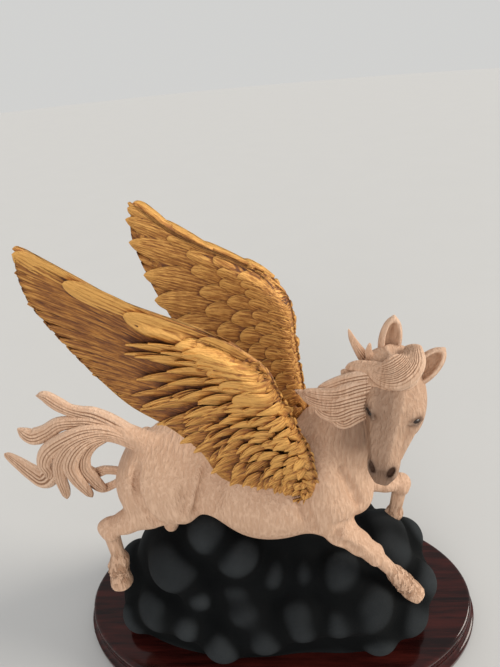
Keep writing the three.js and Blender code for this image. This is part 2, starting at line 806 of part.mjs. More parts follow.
// Mounds are told by their place along and up and their three half sizes.
// Lumps of one side are told by the place of their crown, along, aside and up, and their size.
// All are shares of the cloud's half length, half width and height, and of the lump radius.
const mounds = [
  [-0.16, 0, 0.81, 0.87, 0.54],
  [-0.31, 0.22, 0.53, 0.55, 0.7],
  [0.35, 0.05, 0.59, 0.83, 0.53],
  [0.12, 0.3, 0.42, 0.36, 0.5],
];
const lumps = [
  [-0.62, -0.42, 0.66, 1.1],
  [-0.74, -0.58, 0.28, 1],
  [-0.46, -0.62, 0.45, 0.7],
  [-0.54, -0.78, 0.26, 0.75],
  [-0.22, -0.47, 0.76, 0.85],
  [-0.23, -0.6, 0.52, 0.85],
  [-0.19, -0.78, 0.37, 0.85],
  [-0.34, -0.95, 0.15, 0.85],
  [-0.08, -0.92, 0.22, 0.95],
  [-0.02, -0.48, 0.58, 0.85],
  [0.18, -0.17, 0.6, 0.7],
  [0.21, -0.48, 0.54, 0.75],
  [0.18, -0.84, 0.33, 1.05],
  [0.39, -0.83, 0.34, 0.8],
  [0.43, -0.52, 0.54, 0.9],
  [0.59, -0.72, 0.37, 1.1],
  [0.62, -0.85, 0.15, 0.75],
  [0.8, -0.65, 0.23, 0.9],
  [0.74, -0.17, 0.5, 0.95],
  [0.88, -0.36, 0.33, 0.75],
  [-0.38, -0.32, 0.88, 0.8],
  [-0.88, -0.5, 0.13, 0.75],
  [-0.93, -0.1, 0.3, 0.8],
];

function cloudBalls() {
  const half = v(CLOUD_LENGTH / 2, CLOUD_WIDTH / 2, CLOUD_HEIGHT);
  const ball = (centre, size) => ({ centre, size, square: size.clone().multiply(size) });
  const place = (along, aside, up) => v(along, aside, up).multiply(half).add(v(0, 0, FIGURE_FOOT));
  const base = mounds.map(([along, up, long, wide, tall]) =>
    ball(place(along, 0, up), v(long, wide, tall).multiply(half)),
  );
  const onSide = (side) =>
    lumps.map(([along, aside, up, size]) => {
      const crown = place(along, side * aside, up);
      const radius = size * LUMP_RADIUS;
      const inner = place(0.3 * along, 0, 0.45 * up);
      return ball(crown.add(inner.sub(crown).setLength(0.8 * radius)), v(radius, radius, radius));
    });
  return [...base, ...onSide(1), ...onSide(-1)];
}

// How far a point lies outside the balls, where each blends softly into its neighbours.
function outsideCloud(point, balls) {
  return balls.reduce((depth, { centre, size, square }) => {
    const local = point.clone().sub(centre);
    const reach = local.clone().divide(size).length();
    const own = (reach * (reach - 1)) / local.divide(square).length();
    const share = THREE.MathUtils.clamp(0.5 + (0.5 * (depth - own)) / LUMP_BLEND, 0, 1);
    return THREE.MathUtils.lerp(depth, own, share) - LUMP_BLEND * share * (1 - share);
  }, CLOUD_LENGTH);
}

// The skin is felt for from outside, along spokes that fan up from the foot to the crest.
function cloudSkin() {
  const AROUND = 64;
  const UPWARD = 18;
  const TOP_TILT = 1.5;
  const NEAREST = 0.1;
  const FURTHEST = 1.3;
  const STRIDE = 0.03;
  const HALVINGS = 10;
  const balls = cloudBalls();
  const rings = [];
  for (let i = 0; i <= UPWARD; i += 1) {
    const tilt = (TOP_TILT * i) / UPWARD;
    const hub = v(CLOUD_CREST_X * Math.sin(tilt), 0, FIGURE_FOOT);
    const ring = [];
    for (let j = 0; j < AROUND; j += 1) {
      const turn = (2 * Math.PI * j) / AROUND;
      const spoke = v(
        (CLOUD_LENGTH / 2) * Math.cos(turn) * Math.cos(tilt),
        (CLOUD_WIDTH / 2) * Math.sin(turn) * Math.cos(tilt),
        CLOUD_HEIGHT * Math.sin(tilt),
      );
      const at = (share) => hub.clone().addScaledVector(spoke, share);
      let outside = FURTHEST;
      while (outside > NEAREST && outsideCloud(at(outside - STRIDE), balls) > 0) outside -= STRIDE;
      let inside = outside - STRIDE;
      for (let step = 0; step < HALVINGS; step += 1) {
        const middle = (inside + outside) / 2;
        if (outsideCloud(at(middle), balls) < 0) inside = middle;
        else outside = middle;
      }
      ring.push(at(inside));
    }
    rings.push(ring);
  }
  return skin(rings);
}

function cloud() {
  const sunk = Object.values(legs).map((spec) => leg(spec, GLUE_GAP));
  const pins = [-1, 1].map((end) => bore(...mountPinEnds(end), MOUNT_PIN_RADIUS));
  return cloudSkin().subtract(fuse([seatCutter, ...sunk, ...pins, screwBores]));
}

// Horse: one casting, bored for the pins of all that seats on it

function horseBody() {
  const pins = [
    ...[-1, 1].map((end) => bore(...mountPinEnds(end), MOUNT_PIN_RADIUS)),
    ...Object.values(wings).map((wing) => bore(...wingPinEnds(wing), WING_PIN_RADIUS)),
    ...Object.values(legs).map((spec) => bore(...legPinEnds(spec), LEG_PIN_RADIUS)),
    bore(...tailPinEnds, LEG_PIN_RADIUS),
  ];
  return fuse([mainForm(0), ...ears.map(ear), ...hair()]).subtract(fuse(pins));
}

// Assembly

const figurine = new THREE.Group();
figurine.add(
  piece("baize", baize(), greenBaize),
  piece("plinth", plinth(), mahogany),
  piece("cloud_base", cloud(), blackFlock),
  piece("horse_body", horseBody(), creamResin),
  piece("tail", tail().subtract(bore(...tailPinEnds, LEG_PIN_RADIUS)), creamResin),
  piece("tail_pin", rod(...tailPinEnds, LEG_PIN_RADIUS), steel),
);
["rear", "middle", "front"].forEach((place, i) => {
  figurine.add(piece(`cloud_screw_${place}`, screw(screwPlaces[i]), steel));
});
for (const [name, end] of [["rear", -1], ["front", 1]]) {
  figurine.add(piece(`mount_pin_${name}`, rod(...mountPinEnds(end), MOUNT_PIN_RADIUS), steel));
}
for (const [name, wing] of Object.entries(wings)) {
  figurine.add(
    piece(name, wingSolid(wing), giltResin),
    piece(`${name}_pin`, rod(...wingPinEnds(wing), WING_PIN_RADIUS), steel),
  );
}
for (const [name, spec] of Object.entries(legs)) {
  const pinEnds = legPinEnds(spec);
  figurine.add(
    piece(name, leg(spec).subtract(seatCutter).subtract(bore(...pinEnds, LEG_PIN_RADIUS)), creamResin),
    piece(`${name}_pin`, rod(...pinEnds, LEG_PIN_RADIUS), steel),
  );
}

export default figurine;
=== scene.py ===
import itertools
import math

import bpy
import numpy as np
from mathutils import Matrix, Vector
from mathutils.bvhtree import BVHTree


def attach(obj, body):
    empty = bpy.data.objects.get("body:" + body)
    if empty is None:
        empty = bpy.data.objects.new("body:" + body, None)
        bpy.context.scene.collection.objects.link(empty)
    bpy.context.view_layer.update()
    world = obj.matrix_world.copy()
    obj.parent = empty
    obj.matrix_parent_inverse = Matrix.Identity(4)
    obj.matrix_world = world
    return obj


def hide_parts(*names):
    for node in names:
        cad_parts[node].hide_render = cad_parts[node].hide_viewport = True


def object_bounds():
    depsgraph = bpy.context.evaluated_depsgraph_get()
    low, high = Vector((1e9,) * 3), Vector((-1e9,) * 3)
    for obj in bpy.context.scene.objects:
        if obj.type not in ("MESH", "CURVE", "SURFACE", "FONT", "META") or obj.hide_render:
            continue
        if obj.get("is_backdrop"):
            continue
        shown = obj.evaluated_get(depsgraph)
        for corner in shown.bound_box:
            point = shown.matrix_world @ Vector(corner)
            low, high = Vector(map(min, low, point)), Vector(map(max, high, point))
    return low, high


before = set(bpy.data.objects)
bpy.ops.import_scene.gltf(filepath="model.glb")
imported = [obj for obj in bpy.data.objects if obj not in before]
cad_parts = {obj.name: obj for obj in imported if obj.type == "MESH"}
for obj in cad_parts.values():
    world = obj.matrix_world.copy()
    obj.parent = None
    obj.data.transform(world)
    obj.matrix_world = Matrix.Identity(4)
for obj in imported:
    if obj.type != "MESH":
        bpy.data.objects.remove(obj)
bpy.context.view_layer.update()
bpy.ops.object.select_all(action="DESELECT")
scene = bpy.context.scene
scene.view_settings.view_transform = "Standard"

# Camera, held above the ornament and looking down at its right side.
# The frame is 500 by 667 pixels, and all places in this file are millimetres.
MM = 0.001
FRAME_HEIGHT = 667
FOCAL_PIXELS = 490
SENSOR_HEIGHT = 36
EYE = Vector((17, -236.5, 402))
LOOK_DOWN = math.radians(30.35)
LOOK_LEFT = math.radians(4.73)
LEAN_RIGHT = math.radians(5.35)

bpy.ops.object.camera_add()
camera = bpy.context.object
camera.matrix_world = (
    Matrix.Translation(EYE * MM)
    @ Matrix.Rotation(LOOK_LEFT, 4, "Z")
    @ Matrix.Rotation(math.pi / 2 - LOOK_DOWN, 4, "X")
    @ Matrix.Rotation(-LEAN_RIGHT, 4, "Z")
)
camera.data.sensor_fit = "VERTICAL"
camera.data.sensor_height = SENSOR_HEIGHT
camera.data.sensor_width = SENSOR_HEIGHT
camera.data.lens = FOCAL_PIXELS / FRAME_HEIGHT * SENSOR_HEIGHT
camera.data.clip_start = 0.01
scene.camera = camera

# Studio: a pale floor, a window light from the front of the horse and a weak room light from its right side.
# The sky beyond the floor is the same pale grey, and lights the object softly from all round.


class Signal:
    """One output of a shader node. Sums and products of signals add their own Math nodes."""

    def __init__(self, tree, socket):
        self.tree = tree
        self.socket = socket

    def node(self, kind, settings, inputs, output=0):
        made = self.tree.nodes.new(kind)
        for key, value in settings.items():
            setattr(made, key, value)
        for key, value in inputs.items():
            if isinstance(value, Signal):
                self.tree.links.new(value.socket, made.inputs[key])
            else:
                made.inputs[key].default_value = value
        return Signal(self.tree, made.outputs[output])

    def maths(self, operation, first, second):
        return self.node("ShaderNodeMath", {"operation": operation}, {0: first, 1: second})

    def __add__(self, other):
        return self.maths("ADD", self, other)

    def __sub__(self, other):
        return self.maths("SUBTRACT", self, other)

    def __rsub__(self, other):
        return self.maths("SUBTRACT", other, self)

    def __mul__(self, other):
        return self.maths("MULTIPLY", self, other)

    __radd__ = __add__
    __rmul__ = __mul__

    def between(self, low, high):
        """0 below low, 1 above high and smooth between them."""
        settings = {"interpolation_type": "SMOOTHSTEP"}
        return self.node("ShaderNodeMapRange", settings, {"Value": self, "From Min": low, "From Max": high})

    def tint(self, low, high):
        """The colour low where the signal is 0 and high where it is 1."""
        pair = [c if isinstance(c, Signal) else (*c, 1) for c in (low, high)]
        return self.node("ShaderNodeMix", {"data_type": "RGBA"}, {0: self, 6: pair[0], 7: pair[1]}, 2)

    def ramp(self, *stops):
        """A colour that runs through stops, each told by its place from 0 to 1 and its shade."""
        colour = self.node("ShaderNodeValToRGB", {}, {"Fac": self})
        elements = colour.socket.node.color_ramp.elements
        while len(elements) < len(stops):
            elements.new(1)
        for element, (place, shade) in zip(elements, stops):
            element.position = place
            element.color = (*shade, 1)
        return colour

    def noise(self, scale, detail, roughness=0.5):
        inputs = {"Vector": self, "Scale": scale, "Detail": detail, "Roughness": roughness}
        return self.node("ShaderNodeTexNoise", {}, inputs)

    def mapped(self, turn, stretch):
        return self.node("ShaderNodeMapping", {}, {"Vector": self, "Rotation": turn, "Scale": stretch})

    def bump(self, height, distance):
        """The normal of a surface whose relief is height times the distance, in millimetres."""
        return self.node("ShaderNodeBump", {}, {"Height": height, "Distance": distance * MM})


class Finish:
    """A material with one principled shader: its even settings, and signals that vary over the surface."""

    def __init__(self, name, **even):
        self.material = bpy.data.materials.new(name)
        self.material.use_nodes = True
        self.tree = self.material.node_tree
        self.shader = self.tree.nodes["Principled BSDF"]
        for key, value in even.items():
            self.shader.inputs[key.replace("_", " ")].default_value = value
        coordinates = self.tree.nodes.new("ShaderNodeTexCoord")
        self.place = Signal(self.tree, coordinates.outputs["Object"])

    def measure(self, name, output="Fac"):
        reader = self.tree.nodes.new("ShaderNodeAttribute")
        reader.attribute_name = name
        return Signal(self.tree, reader.outputs[output])

    def set(self, **varying):
        for key, signal in varying.items():
            self.tree.links.new(signal.socket, self.shader.inputs[key.replace("_", " ")])


FLOOR_RADIUS = 6000
PALE = (0.64, 0.64, 0.63)
SKY_LIGHT = 0.72
FLOOR_LIGHT = 1.2
bpy.ops.mesh.primitive_circle_add(vertices=128, radius=FLOOR_RADIUS * MM, fill_type="NGON")
floor = bpy.context.object
floor.name = "floor"
floor_finish = Finish("pale floor", Roughness=0.9)
mottle = floor_finish.place.noise(9, 4)
floor_shade = [c / FLOOR_LIGHT for c in PALE]
floor_finish.set(Base_Color=mottle.tint([0.97 * c for c in floor_shade], floor_shade))
floor.data.materials.append(floor_finish.material)
floor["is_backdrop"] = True

world = bpy.data.worlds.new("pale sky")
world.use_nodes = True
scene.world = world
sky = world.node_tree.nodes["Background"]
rays = Signal(world.node_tree, world.node_tree.nodes.new("ShaderNodeLightPath").outputs["Is Camera Ray"])
world.node_tree.links.new(rays.tint((SKY_LIGHT,) * 3, PALE).socket, sky.inputs["Color"])


def lamp(name, place, softness, power, colour):
    """A far, broad light that shines from a place towards the ornament. Its softness is in degrees."""
    bpy.ops.object.light_add(type="SUN", location=Vector(place) * MM)
    made = bpy.context.object
    made.name = name
    made.rotation_euler = Vector(place).to_track_quat("Z", "Y").to_euler()
    made.data.angle = math.radians(softness)
    made.data.energy = power
    made.data.color = colour


lamp("window_light", (2300, 150, 1350), 24, 2.45, (1, 0.94, 0.85))
lamp("room_light", (-250, -2300, 750), 40, 1.1, (1, 0.97, 0.94))

# Baize: a green felt sheet glued under the plinth, cut a little smaller than its foot.
# It is what the ornament stands on.
OVAL_SIDES = 144
PLINTH_LENGTH, PLINTH_WIDTH = 300, 160
FOOT_FLARE = 4
BAIZE_MARGIN = 5
BAIZE_THICKNESS = 1.5
GLUE_GAP = 0.3


def in_edit_mode(obj):
    bpy.ops.object.select_all(action="DESELECT")
    obj.select_set(True)
    bpy.context.view_layer.objects.active = obj
    bpy.ops.object.mode_set(mode="EDIT")


def face_outwards(obj):
    in_edit_mode(obj)
    bpy.ops.mesh.select_all(action="SELECT")
    bpy.ops.mesh.normals_make_consistent(inside=False)
    bpy.ops.object.mode_set(mode="OBJECT")


def oval_board(name, edge):
    """An oval extruded up through an edge profile of (inset, height) pairs, in millimetres."""
    first_inset, foot = edge[0]
    start = (0, 0, foot * MM)
    bpy.ops.mesh.primitive_circle_add(vertices=OVAL_SIDES, radius=1, fill_type="NGON", location=start)
    board = bpy.context.object
    board.name = name
    half = Vector((PLINTH_LENGTH / 2, PLINTH_WIDTH / 2, 0))
    board.scale = ((half.x - first_inset) * MM, (half.y - first_inset) * MM, 1)
    bpy.ops.object.transform_apply(location=True, rotation=True, scale=True)
    in_edit_mode(board)
    bpy.ops.mesh.select_all(action="SELECT")
    for (inset, height), (next_inset, next_height) in itertools.pairwise(edge):
        rise = (0, 0, (next_height - height) * MM)
        bpy.ops.mesh.extrude_region_move(TRANSFORM_OT_translate={"value": rise})
        draw = ((half.x - next_inset) / (half.x - inset), (half.y - next_inset) / (half.y - inset), 1)
        bpy.ops.transform.resize(value=draw, center_override=(0, 0, next_height * MM))
    bpy.ops.object.mode_set(mode="OBJECT")
    face_outwards(board)
    bpy.ops.object.shade_smooth_by_angle(angle=math.radians(28))
    return board


def fit(obj, finish, slot, *nodes):
    """Gives a finished piece its material and its place in the frame."""
    obj.data.materials.clear()
    obj.data.materials.append(finish.material)
    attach(obj, "root")
    if nodes:
        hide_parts(*nodes)


baize_inset = BAIZE_MARGIN - FOOT_FLARE
baize = oval_board(
    "felt_sheet",
    [(baize_inset, 0), (baize_inset, 0.8 * BAIZE_THICKNESS), (baize_inset + 0.4, BAIZE_THICKNESS)],
)
felt = Finish("green felt", Roughness=1.0, Sheen_Weight=0.3)
nap = felt.place.noise(900, 3)
felt.set(Base_Color=nap.tint((0.008, 0.03, 0.014), (0.022, 0.066, 0.034)))
felt.set(Normal=felt.place.bump(nap, 0.3))
fit(baize, felt, "baize", "baize")

# Plinth: an oval board of dark red mahogany, turned with a stepped moulding and lacquered to a high gloss.
# Screws from below hold the cloud on it.
PLINTH_HEIGHT = 22
COVE_DEPTH = 3
PLINTH_FOOT = BAIZE_THICKNESS + GLUE_GAP
PLINTH_TOP = PLINTH_FOOT + PLINTH_HEIGHT


def arc(centre, radius, start, end, steps=7):
    """Points on an arc of the edge profile, with the angles in degrees from straight out."""
    turns = np.radians(np.linspace(start, end, steps))
    return [(centre[0] - radius[0] * math.cos(t), centre[1] + radius[1] * math.sin(t)) for t in turns]


foot_roll = arc((-FOOT_FLARE + 1.6, 4.2), (1.6, 1.8), 0, 90)
scotia = arc((-1.2 - 3.2, 7 + 4.4), (-4.2, 4.4), -82, 0)
bead = arc((0.8, 12.4), (0.9, 0.9), -80, 80)
shadow_line = [(COVE_DEPTH, 13.6), (COVE_DEPTH, 14.6)]
rim_under = arc((1.4, 16.2), (1.4, 1.5), -80, 0)
rim_over = arc((COVE_DEPTH, 19.4), (COVE_DEPTH, 2.6), 0, 90, 9)
profile = [
    (-FOOT_FLARE + 0.5, 0),
    (-FOOT_FLARE, 0.5),
    *foot_roll,
    (-1.6, 6.0),
    (-1.6, 6.9),
    *scotia,
    *bead,
    *shadow_line,
    *rim_under,
    *rim_over,
]
plinth = oval_board("oval_plinth", [(inset, PLINTH_FOOT + height) for inset, height in profile])
lacquer = Finish("lacquered mahogany", Specular_IOR_Level=0.2, Coat_Weight=0.1, Coat_Roughness=0.05)
grain = lacquer.place.mapped((0, 0, 0.04), (7, 90, 90)).noise(3, 6, 0.6)
figure = lacquer.place.mapped((0, 0, 0), (4, 26, 26)).noise(2, 3)
streak = grain.between(0.35, 0.7) * 0.7 + figure.between(0.3, 0.7) * 0.3
lacquer.set(Base_Color=streak.tint((0.006, 0.0015, 0.0015), (0.05, 0.008, 0.006)))
lacquer.set(Roughness=grain.between(0.2, 0.9) * 0.06 + 0.1)
fit(plinth, lacquer, "mahogany", "plinth")

# Pins and screws: plain steel, hidden in the castings that they hold together.
# They are the solids of the frame with a drawn steel finish.
steel = Finish("drawn steel", Metallic=1.0)
scratch = steel.place.mapped((0, 0, 0), (60, 60, 900)).noise(4, 3)
steel.set(Base_Color=scratch.tint((0.3, 0.31, 0.33), (0.42, 0.43, 0.45)))
steel.set(Roughness=scratch * 0.2 + 0.25)
for node_name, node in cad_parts.items():
    if node_name.endswith("_pin") or node_name.startswith(("mount_pin", "cloud_screw")):
        node.data.materials.clear()
        node.data.materials.append(steel.material)

# Cloud: a resin casting of soft round lumps, flat black like soot, that carries the horse under its belly.
# It is modelled as clay: balls pressed into a mound, each blending softly into its neighbours.
FAR = 60.0


def unit(vector):
    return np.array(vector, float) / np.linalg.norm(vector)


def ball(centre, radii, long=(1, 0, 0), up=(0, 0, 1)):
    """An oval lump. Its radii run along the long direction, across it, and towards up."""
    middle, size = np.array(centre, float), np.array(radii, float)
    first = unit(long)
    second = unit(np.cross(up, first))
    turn = np.stack([first, second, np.cross(first, second)])

    def depth(points):
        local = (points - middle) @ turn.T / size
        reach = np.linalg.norm(local, axis=1)
        return reach * (reach - 1) / np.maximum(np.linalg.norm(local / size, axis=1), 1e-6)

    spread = np.abs(turn.T * size).sum(axis=1)
    return depth, middle - spread, middle + spread


def limb(start, end, start_radius, end_radius):
    """A round limb that tapers from one point to another."""
    first, last = np.array(start, float), np.array(end, float)
    along = last - first

    def depth(points):
        share = np.clip((points - first) @ along / (along @ along), 0, 1)
        gap = np.linalg.norm(points - first - share[:, None] * along, axis=1)
        return gap - start_radius - (end_radius - start_radius) * share

    widest = max(start_radius, end_radius)
    return depth, np.minimum(first, last) - widest, np.maximum(first, last) + widest


def curve_through(points, count):
    """Evenly many places on a smooth curve through the points, of any number of dimensions."""
    points = np.array(points, float)
    padded = np.array([2 * points[0] - points[1], *points, 2 * points[-1] - points[-2]])
    place = np.linspace(0, len(points) - 1, count)
    knot = np.minimum(place.astype(int), len(points) - 2)
    t = (place - knot)[:, None]
    a, b, c, d = (padded[knot + k] for k in range(4))
    return b + 0.5 * t * (c - a + t * (2 * a - 5 * b + 4 * c - d + t * (3 * (b - c) + d - a)))


def loft(start, end, up, stations, square=2.0):
    """An oval section along a line. Each station is its share of the way, the rise of its middle,
    its half width, and its half heights towards up and away from it. A squarer oval has flatter sides."""
    first, last = np.array(start, float), np.array(end, float)
    length = np.linalg.norm(last - first)
    along = (last - first) / length
    across = unit(np.cross(along, up))
    upward = np.cross(across, along)
    fine = curve_through(stations, 160)

    def depth(points):
        local = points - first
        share = local @ along / length
        rise, wide, top, low = (np.interp(share, fine[:, 0], fine[:, k]) for k in range(1, 5))
        aside = local @ across
        above = local @ upward - rise
        tall = np.where(above > 0, top, low)
        reach = np.hypot(aside, above)
        relative = (np.abs(aside / wide) ** square + np.abs(above / tall) ** square) ** (1 / square)
        radial = reach - reach / np.maximum(relative, 1e-4)
        beyond = length * np.maximum(np.maximum(fine[0, 0] - share, share - fine[-1, 0]), 0)
        return np.where(beyond > 0, np.hypot(np.maximum(radial, 0), beyond), radial)

    widest = max(max(s[2:]) + abs(s[1]) for s in stations)
    ends = np.array([first + along * length * stations[k][0] for k in (0, -1)])
    return depth, ends.min(0) - widest, ends.max(0) + widest


class Clay:
    """Soft clay: forms are pressed on or scooped out, and each blends into what is already there."""

    MARGIN = 4

    def __init__(self):
        self.touches = []

    def add(self, form, blend):
        self.touches.append((form, blend, 1))

    def cut(self, form, blend):
        self.touches.append((form, blend, -1))

    @staticmethod
    def press(field, new, blend, sign):
        share = np.clip(0.5 + 0.5 * sign * (field - sign * new) / blend, 0, 1)
        return field + share * (sign * new - field) - sign * blend * share * (1 - share)

    def depth(self, points):
        """How far each point lies outside the clay."""
        field = np.full(len(points), FAR)
        for (depth, low, high), blend, sign in self.touches:
            beyond = blend + self.MARGIN
            near = np.all((points > low - beyond) & (points < high + beyond), axis=1)
            field[near] = self.press(field[near], depth(points[near]), blend, sign)
        return field

    def sampled(self, axes):
        """The same depth at every point of a grid."""
        field = np.full([len(axis) for axis in axes], FAR)
        for (depth, low, high), blend, sign in self.touches:
            beyond = blend + self.MARGIN
            ends = [np.searchsorted(axes[k], (low[k] - beyond, high[k] + beyond)) for k in range(3)]
            block = tuple(slice(*pair) for pair in ends)
            grid = np.meshgrid(*(axis[span] for axis, span in zip(axes, block)), indexing="ij")
            points = np.stack(grid, axis=-1)
            if points.size:
                new = depth(points.reshape(-1, 3)).reshape(points.shape[:-1])
                field[block] = self.press(field[block], new, blend, sign)
        return field

    def surface(self, low, high, step):
        """The clay's skin as corners and four-sided faces, with one corner in each cell that it crosses."""
        field = self.sampled([np.arange(low[k], high[k] + step, step) for k in range(3)])
        inside = field < 0
        offsets = list(itertools.product((0, 1), repeat=3))
        size = [n - 1 for n in field.shape]
        count = sum(
            inside[tuple(slice(o, o + n) for o, n in zip(offset, size))].astype(np.int8) for offset in offsets
        )
        crossed = (count > 0) & (count < 8)
        number = np.full(size, -1)
        number[crossed] = np.arange(crossed.sum())
        cells = np.argwhere(crossed)
        values = [field[tuple((cells + offset).T)] for offset in offsets]
        total, hits = np.zeros((len(cells), 3)), np.zeros(len(cells))
        for i, j in itertools.combinations(range(8), 2):
            start, end = np.array(offsets[i]), np.array(offsets[j])
            if np.abs(start - end).sum() != 1:
                continue
            crosses = (values[i] < 0) != (values[j] < 0)
            share = np.where(crosses, values[i] / np.where(crosses, values[i] - values[j], 1), 0)
            total += crosses[:, None] * (start + share[:, None] * (end - start))
            hits += crosses
        corners = np.array(low) + step * (cells + total / hits[:, None])
        faces = []
        for axis in range(3):
            ahead = np.eye(3, dtype=int)[axis]
            one, two = np.eye(3, dtype=int)[axis - 2], np.eye(3, dtype=int)[axis - 1]
            here = inside[tuple(slice(0, n - a) for n, a in zip(inside.shape, ahead))]
            there = inside[tuple(slice(a, None) for a in ahead)]
            edges = np.argwhere(here != there)
            edges = edges[np.all((edges > 0) & (edges < np.array(size)), axis=1)]
            around = (0 * one, one, one + two, two)
            quad = np.stack([number[tuple((edges - shift).T)] for shift in around], axis=1)
            flip = there[tuple(edges.T)]
            quad[flip] = quad[flip][:, ::-1]
            faces.append(quad)
        return corners, np.concatenate(faces)


def mesh_piece(name, corners, faces):
    """A smooth mesh object from corners in millimetres."""
    mesh = bpy.data.meshes.new(name)
    mesh.from_pydata((np.asarray(corners) * MM).tolist(), [], [list(map(int, f)) for f in faces])
    mesh.validate()
    obj = bpy.data.objects.new(name, mesh)
    scene.collection.objects.link(obj)
    mesh.shade_smooth()
    return obj


def numbers(items, field, width, kind=np.float32):
    """One field of all corners or edges of a mesh, a row for each."""
    flat = np.empty(len(items) * width, kind)
    items.foreach_get(field, flat)
    return flat.reshape(-1, width)


def corners_of(obj):
    return numbers(obj.data.vertices, "co", 3).astype(float) / MM


def normals_of(obj):
    return numbers(obj.data.vertex_normals, "vector", 3).astype(float)


def edges_of(obj):
    return numbers(obj.data.edges, "vertices", 2, np.int32)


def mark(obj, name, values):
    """Keeps a number or a vector for each corner, for the finish to read."""
    values = np.asarray(values, np.float32)
    kind, field = ("FLOAT", "value") if values.ndim == 1 else ("FLOAT_VECTOR", "vector")
    obj.data.attributes.new(name, kind, "POINT").data.foreach_set(field, values.ravel())


def hollows(obj, rounds):
    """How much each corner lies in a hollow: below 0 on crowns and above 0 in creases."""
    corners, normals = corners_of(obj), normals_of(obj)
    first, second = edges_of(obj).T
    degree = np.maximum(np.bincount(np.concatenate([first, second]), minlength=len(corners)), 1)

    def around(values):
        total = np.bincount(first, values[second], len(values))
        total += np.bincount(second, values[first], len(values))
        return total / degree

    middle = np.stack([around(corners[:, k]) for k in range(3)], axis=1)
    bend = ((middle - corners) * normals).sum(axis=1)
    for _ in range(rounds):
        bend = 0.5 * bend + 0.5 * around(bend)
    return bend


CLOUD_FOOT = PLINTH_TOP + GLUE_GAP
CLOUD_SIZE = np.array((128, 60, 116))
LUMP_RADIUS = 20
LUMP_BLEND = 6.5
CLOUD_STEP = 1.5
# Mounds: place along and up, and three half sizes, as shares of the half length, half width and height
mounds = [
    (-0.16, 0, 0.81, 0.87, 0.54),
    (-0.31, 0.22, 0.53, 0.55, 0.7),
    (0.35, 0.05, 0.59, 0.83, 0.53),
    (0.12, 0.3, 0.42, 0.36, 0.5),
]
# Lumps of one side: place of the crown along, aside and up, in the same shares, and size
lumps = [
    (-0.62, -0.42, 0.66, 1.1),
    (-0.74, -0.58, 0.28, 1),
    (-0.46, -0.62, 0.45, 0.7),
    (-0.54, -0.78, 0.26, 0.75),
    (-0.22, -0.47, 0.76, 0.85),
    (-0.23, -0.6, 0.52, 0.85),
    (-0.19, -0.78, 0.37, 0.85),
    (-0.34, -0.95, 0.15, 0.85),
    (-0.08, -0.92, 0.22, 0.95),
    (-0.02, -0.48, 0.58, 0.85),
    (0.18, -0.17, 0.6, 0.7),
    (0.21, -0.48, 0.54, 0.75),
    (0.18, -0.84, 0.33, 1.05),
    (0.39, -0.83, 0.34, 0.8),
    (0.43, -0.52, 0.54, 0.9),
    (0.59, -0.72, 0.37, 1.1),
    (0.62, -0.85, 0.15, 0.75),
    (0.8, -0.65, 0.23, 0.9),
    (0.74, -0.17, 0.5, 0.95),
    (0.88, -0.36, 0.33, 0.75),
    (-0.38, -0.32, 0.88, 0.8),
    (-0.88, -0.5, 0.13, 0.75),
    (-0.93, -0.1, 0.3, 0.8),
]


def on_cloud(along, aside, up):
    return CLOUD_SIZE * (along, aside, up) + (0, 0, CLOUD_FOOT)


cloud_clay = Clay()
for along, up, *half in mounds:
    cloud_clay.add(ball(on_cloud(along, 0, up), CLOUD_SIZE * half), LUMP_BLEND)
for side, (along, aside, up, size) in itertools.product((1, -1), lumps):
    crown = on_cloud(along, side * aside, up)
    inward = on_cloud(0.3 * along, 0, 0.45 * up) - crown
    radius = size * LUMP_RADIUS
    cloud_clay.add(ball(crown + 0.8 * radius * unit(inward), (radius,) * 3), LUMP_BLEND)
corners, faces = cloud_clay.surface((-136, -66, CLOUD_FOOT - 6), (136, 66, 146), CLOUD_STEP)
corners[:, 2] = np.maximum(corners[:, 2], CLOUD_FOOT)
cloud = mesh_piece("cloud", corners, faces)
mark(cloud, "crease", hollows(cloud, 36))
soot = Finish("matt soot black", Roughness=0.95, Specular_IOR_Level=0.12)
dust = soot.place.noise(60, 5, 0.6)
speck = soot.place.noise(1500, 3, 0.7)
# Painted shade: the black is darker down in the creases between the lumps, so that they look round
crease_shade_mask = soot.measure("crease").between(-0.065, -0.002)
dust_and_crease_shade = (dust * 0.4 + speck * 0.3 + 0.2) * (1 - crease_shade_mask * 0.95)
soot.set(Base_Color=dust_and_crease_shade.tint((0.0012, 0.0016, 0.0018), (0.05, 0.056, 0.06)))
soot.set(Normal=soot.place.bump(speck + dust * 0.5, 0.35))
fit(cloud, soot, "black_cloud", "cloud_base")

# Horse: a cream resin casting with its legs glued on at the hips and shoulders, and the seams filled.
# It is modelled as clay over the bones of the frame: barrel, neck and head first, then muscles, then hollows.
BODY_AXIS = CLOUD_FOOT + 127
BUTTOCK = np.array((-102, 0, BODY_AXIS))
BREAST = np.array((68, 0, BODY_AXIS))
horse_clay = Clay()
add, cut = horse_clay.add, horse_clay.cut
trunk_stations = [
    (0, 0, 7, 7, 9),
    (0.04, 1.5, 20, 21, 18),
    (0.14, 2, 29, 33, 22),
    (0.28, 1, 31, 35, 13),
    (0.36, 0, 29, 33, 12),
    (0.44, -0.5, 31, 32, 21),
    (0.53, -0.5, 34, 31.5, 31),
    (0.64, -0.5, 35, 32, 36),
    (0.75, 0, 34.5, 34.5, 35),
    (0.88, 0, 29, 34, 29),
    (0.96, -1.5, 19, 24, 21),
    (1, -3, 7, 9, 9),
]
add(loft(BUTTOCK, BREAST, (0, 0, 1), trunk_stations), 1)
POLL = np.array((76, -17, BODY_AXIS + 103))
NECK_BASE = np.array((34, 0, BODY_AXIS + 7))
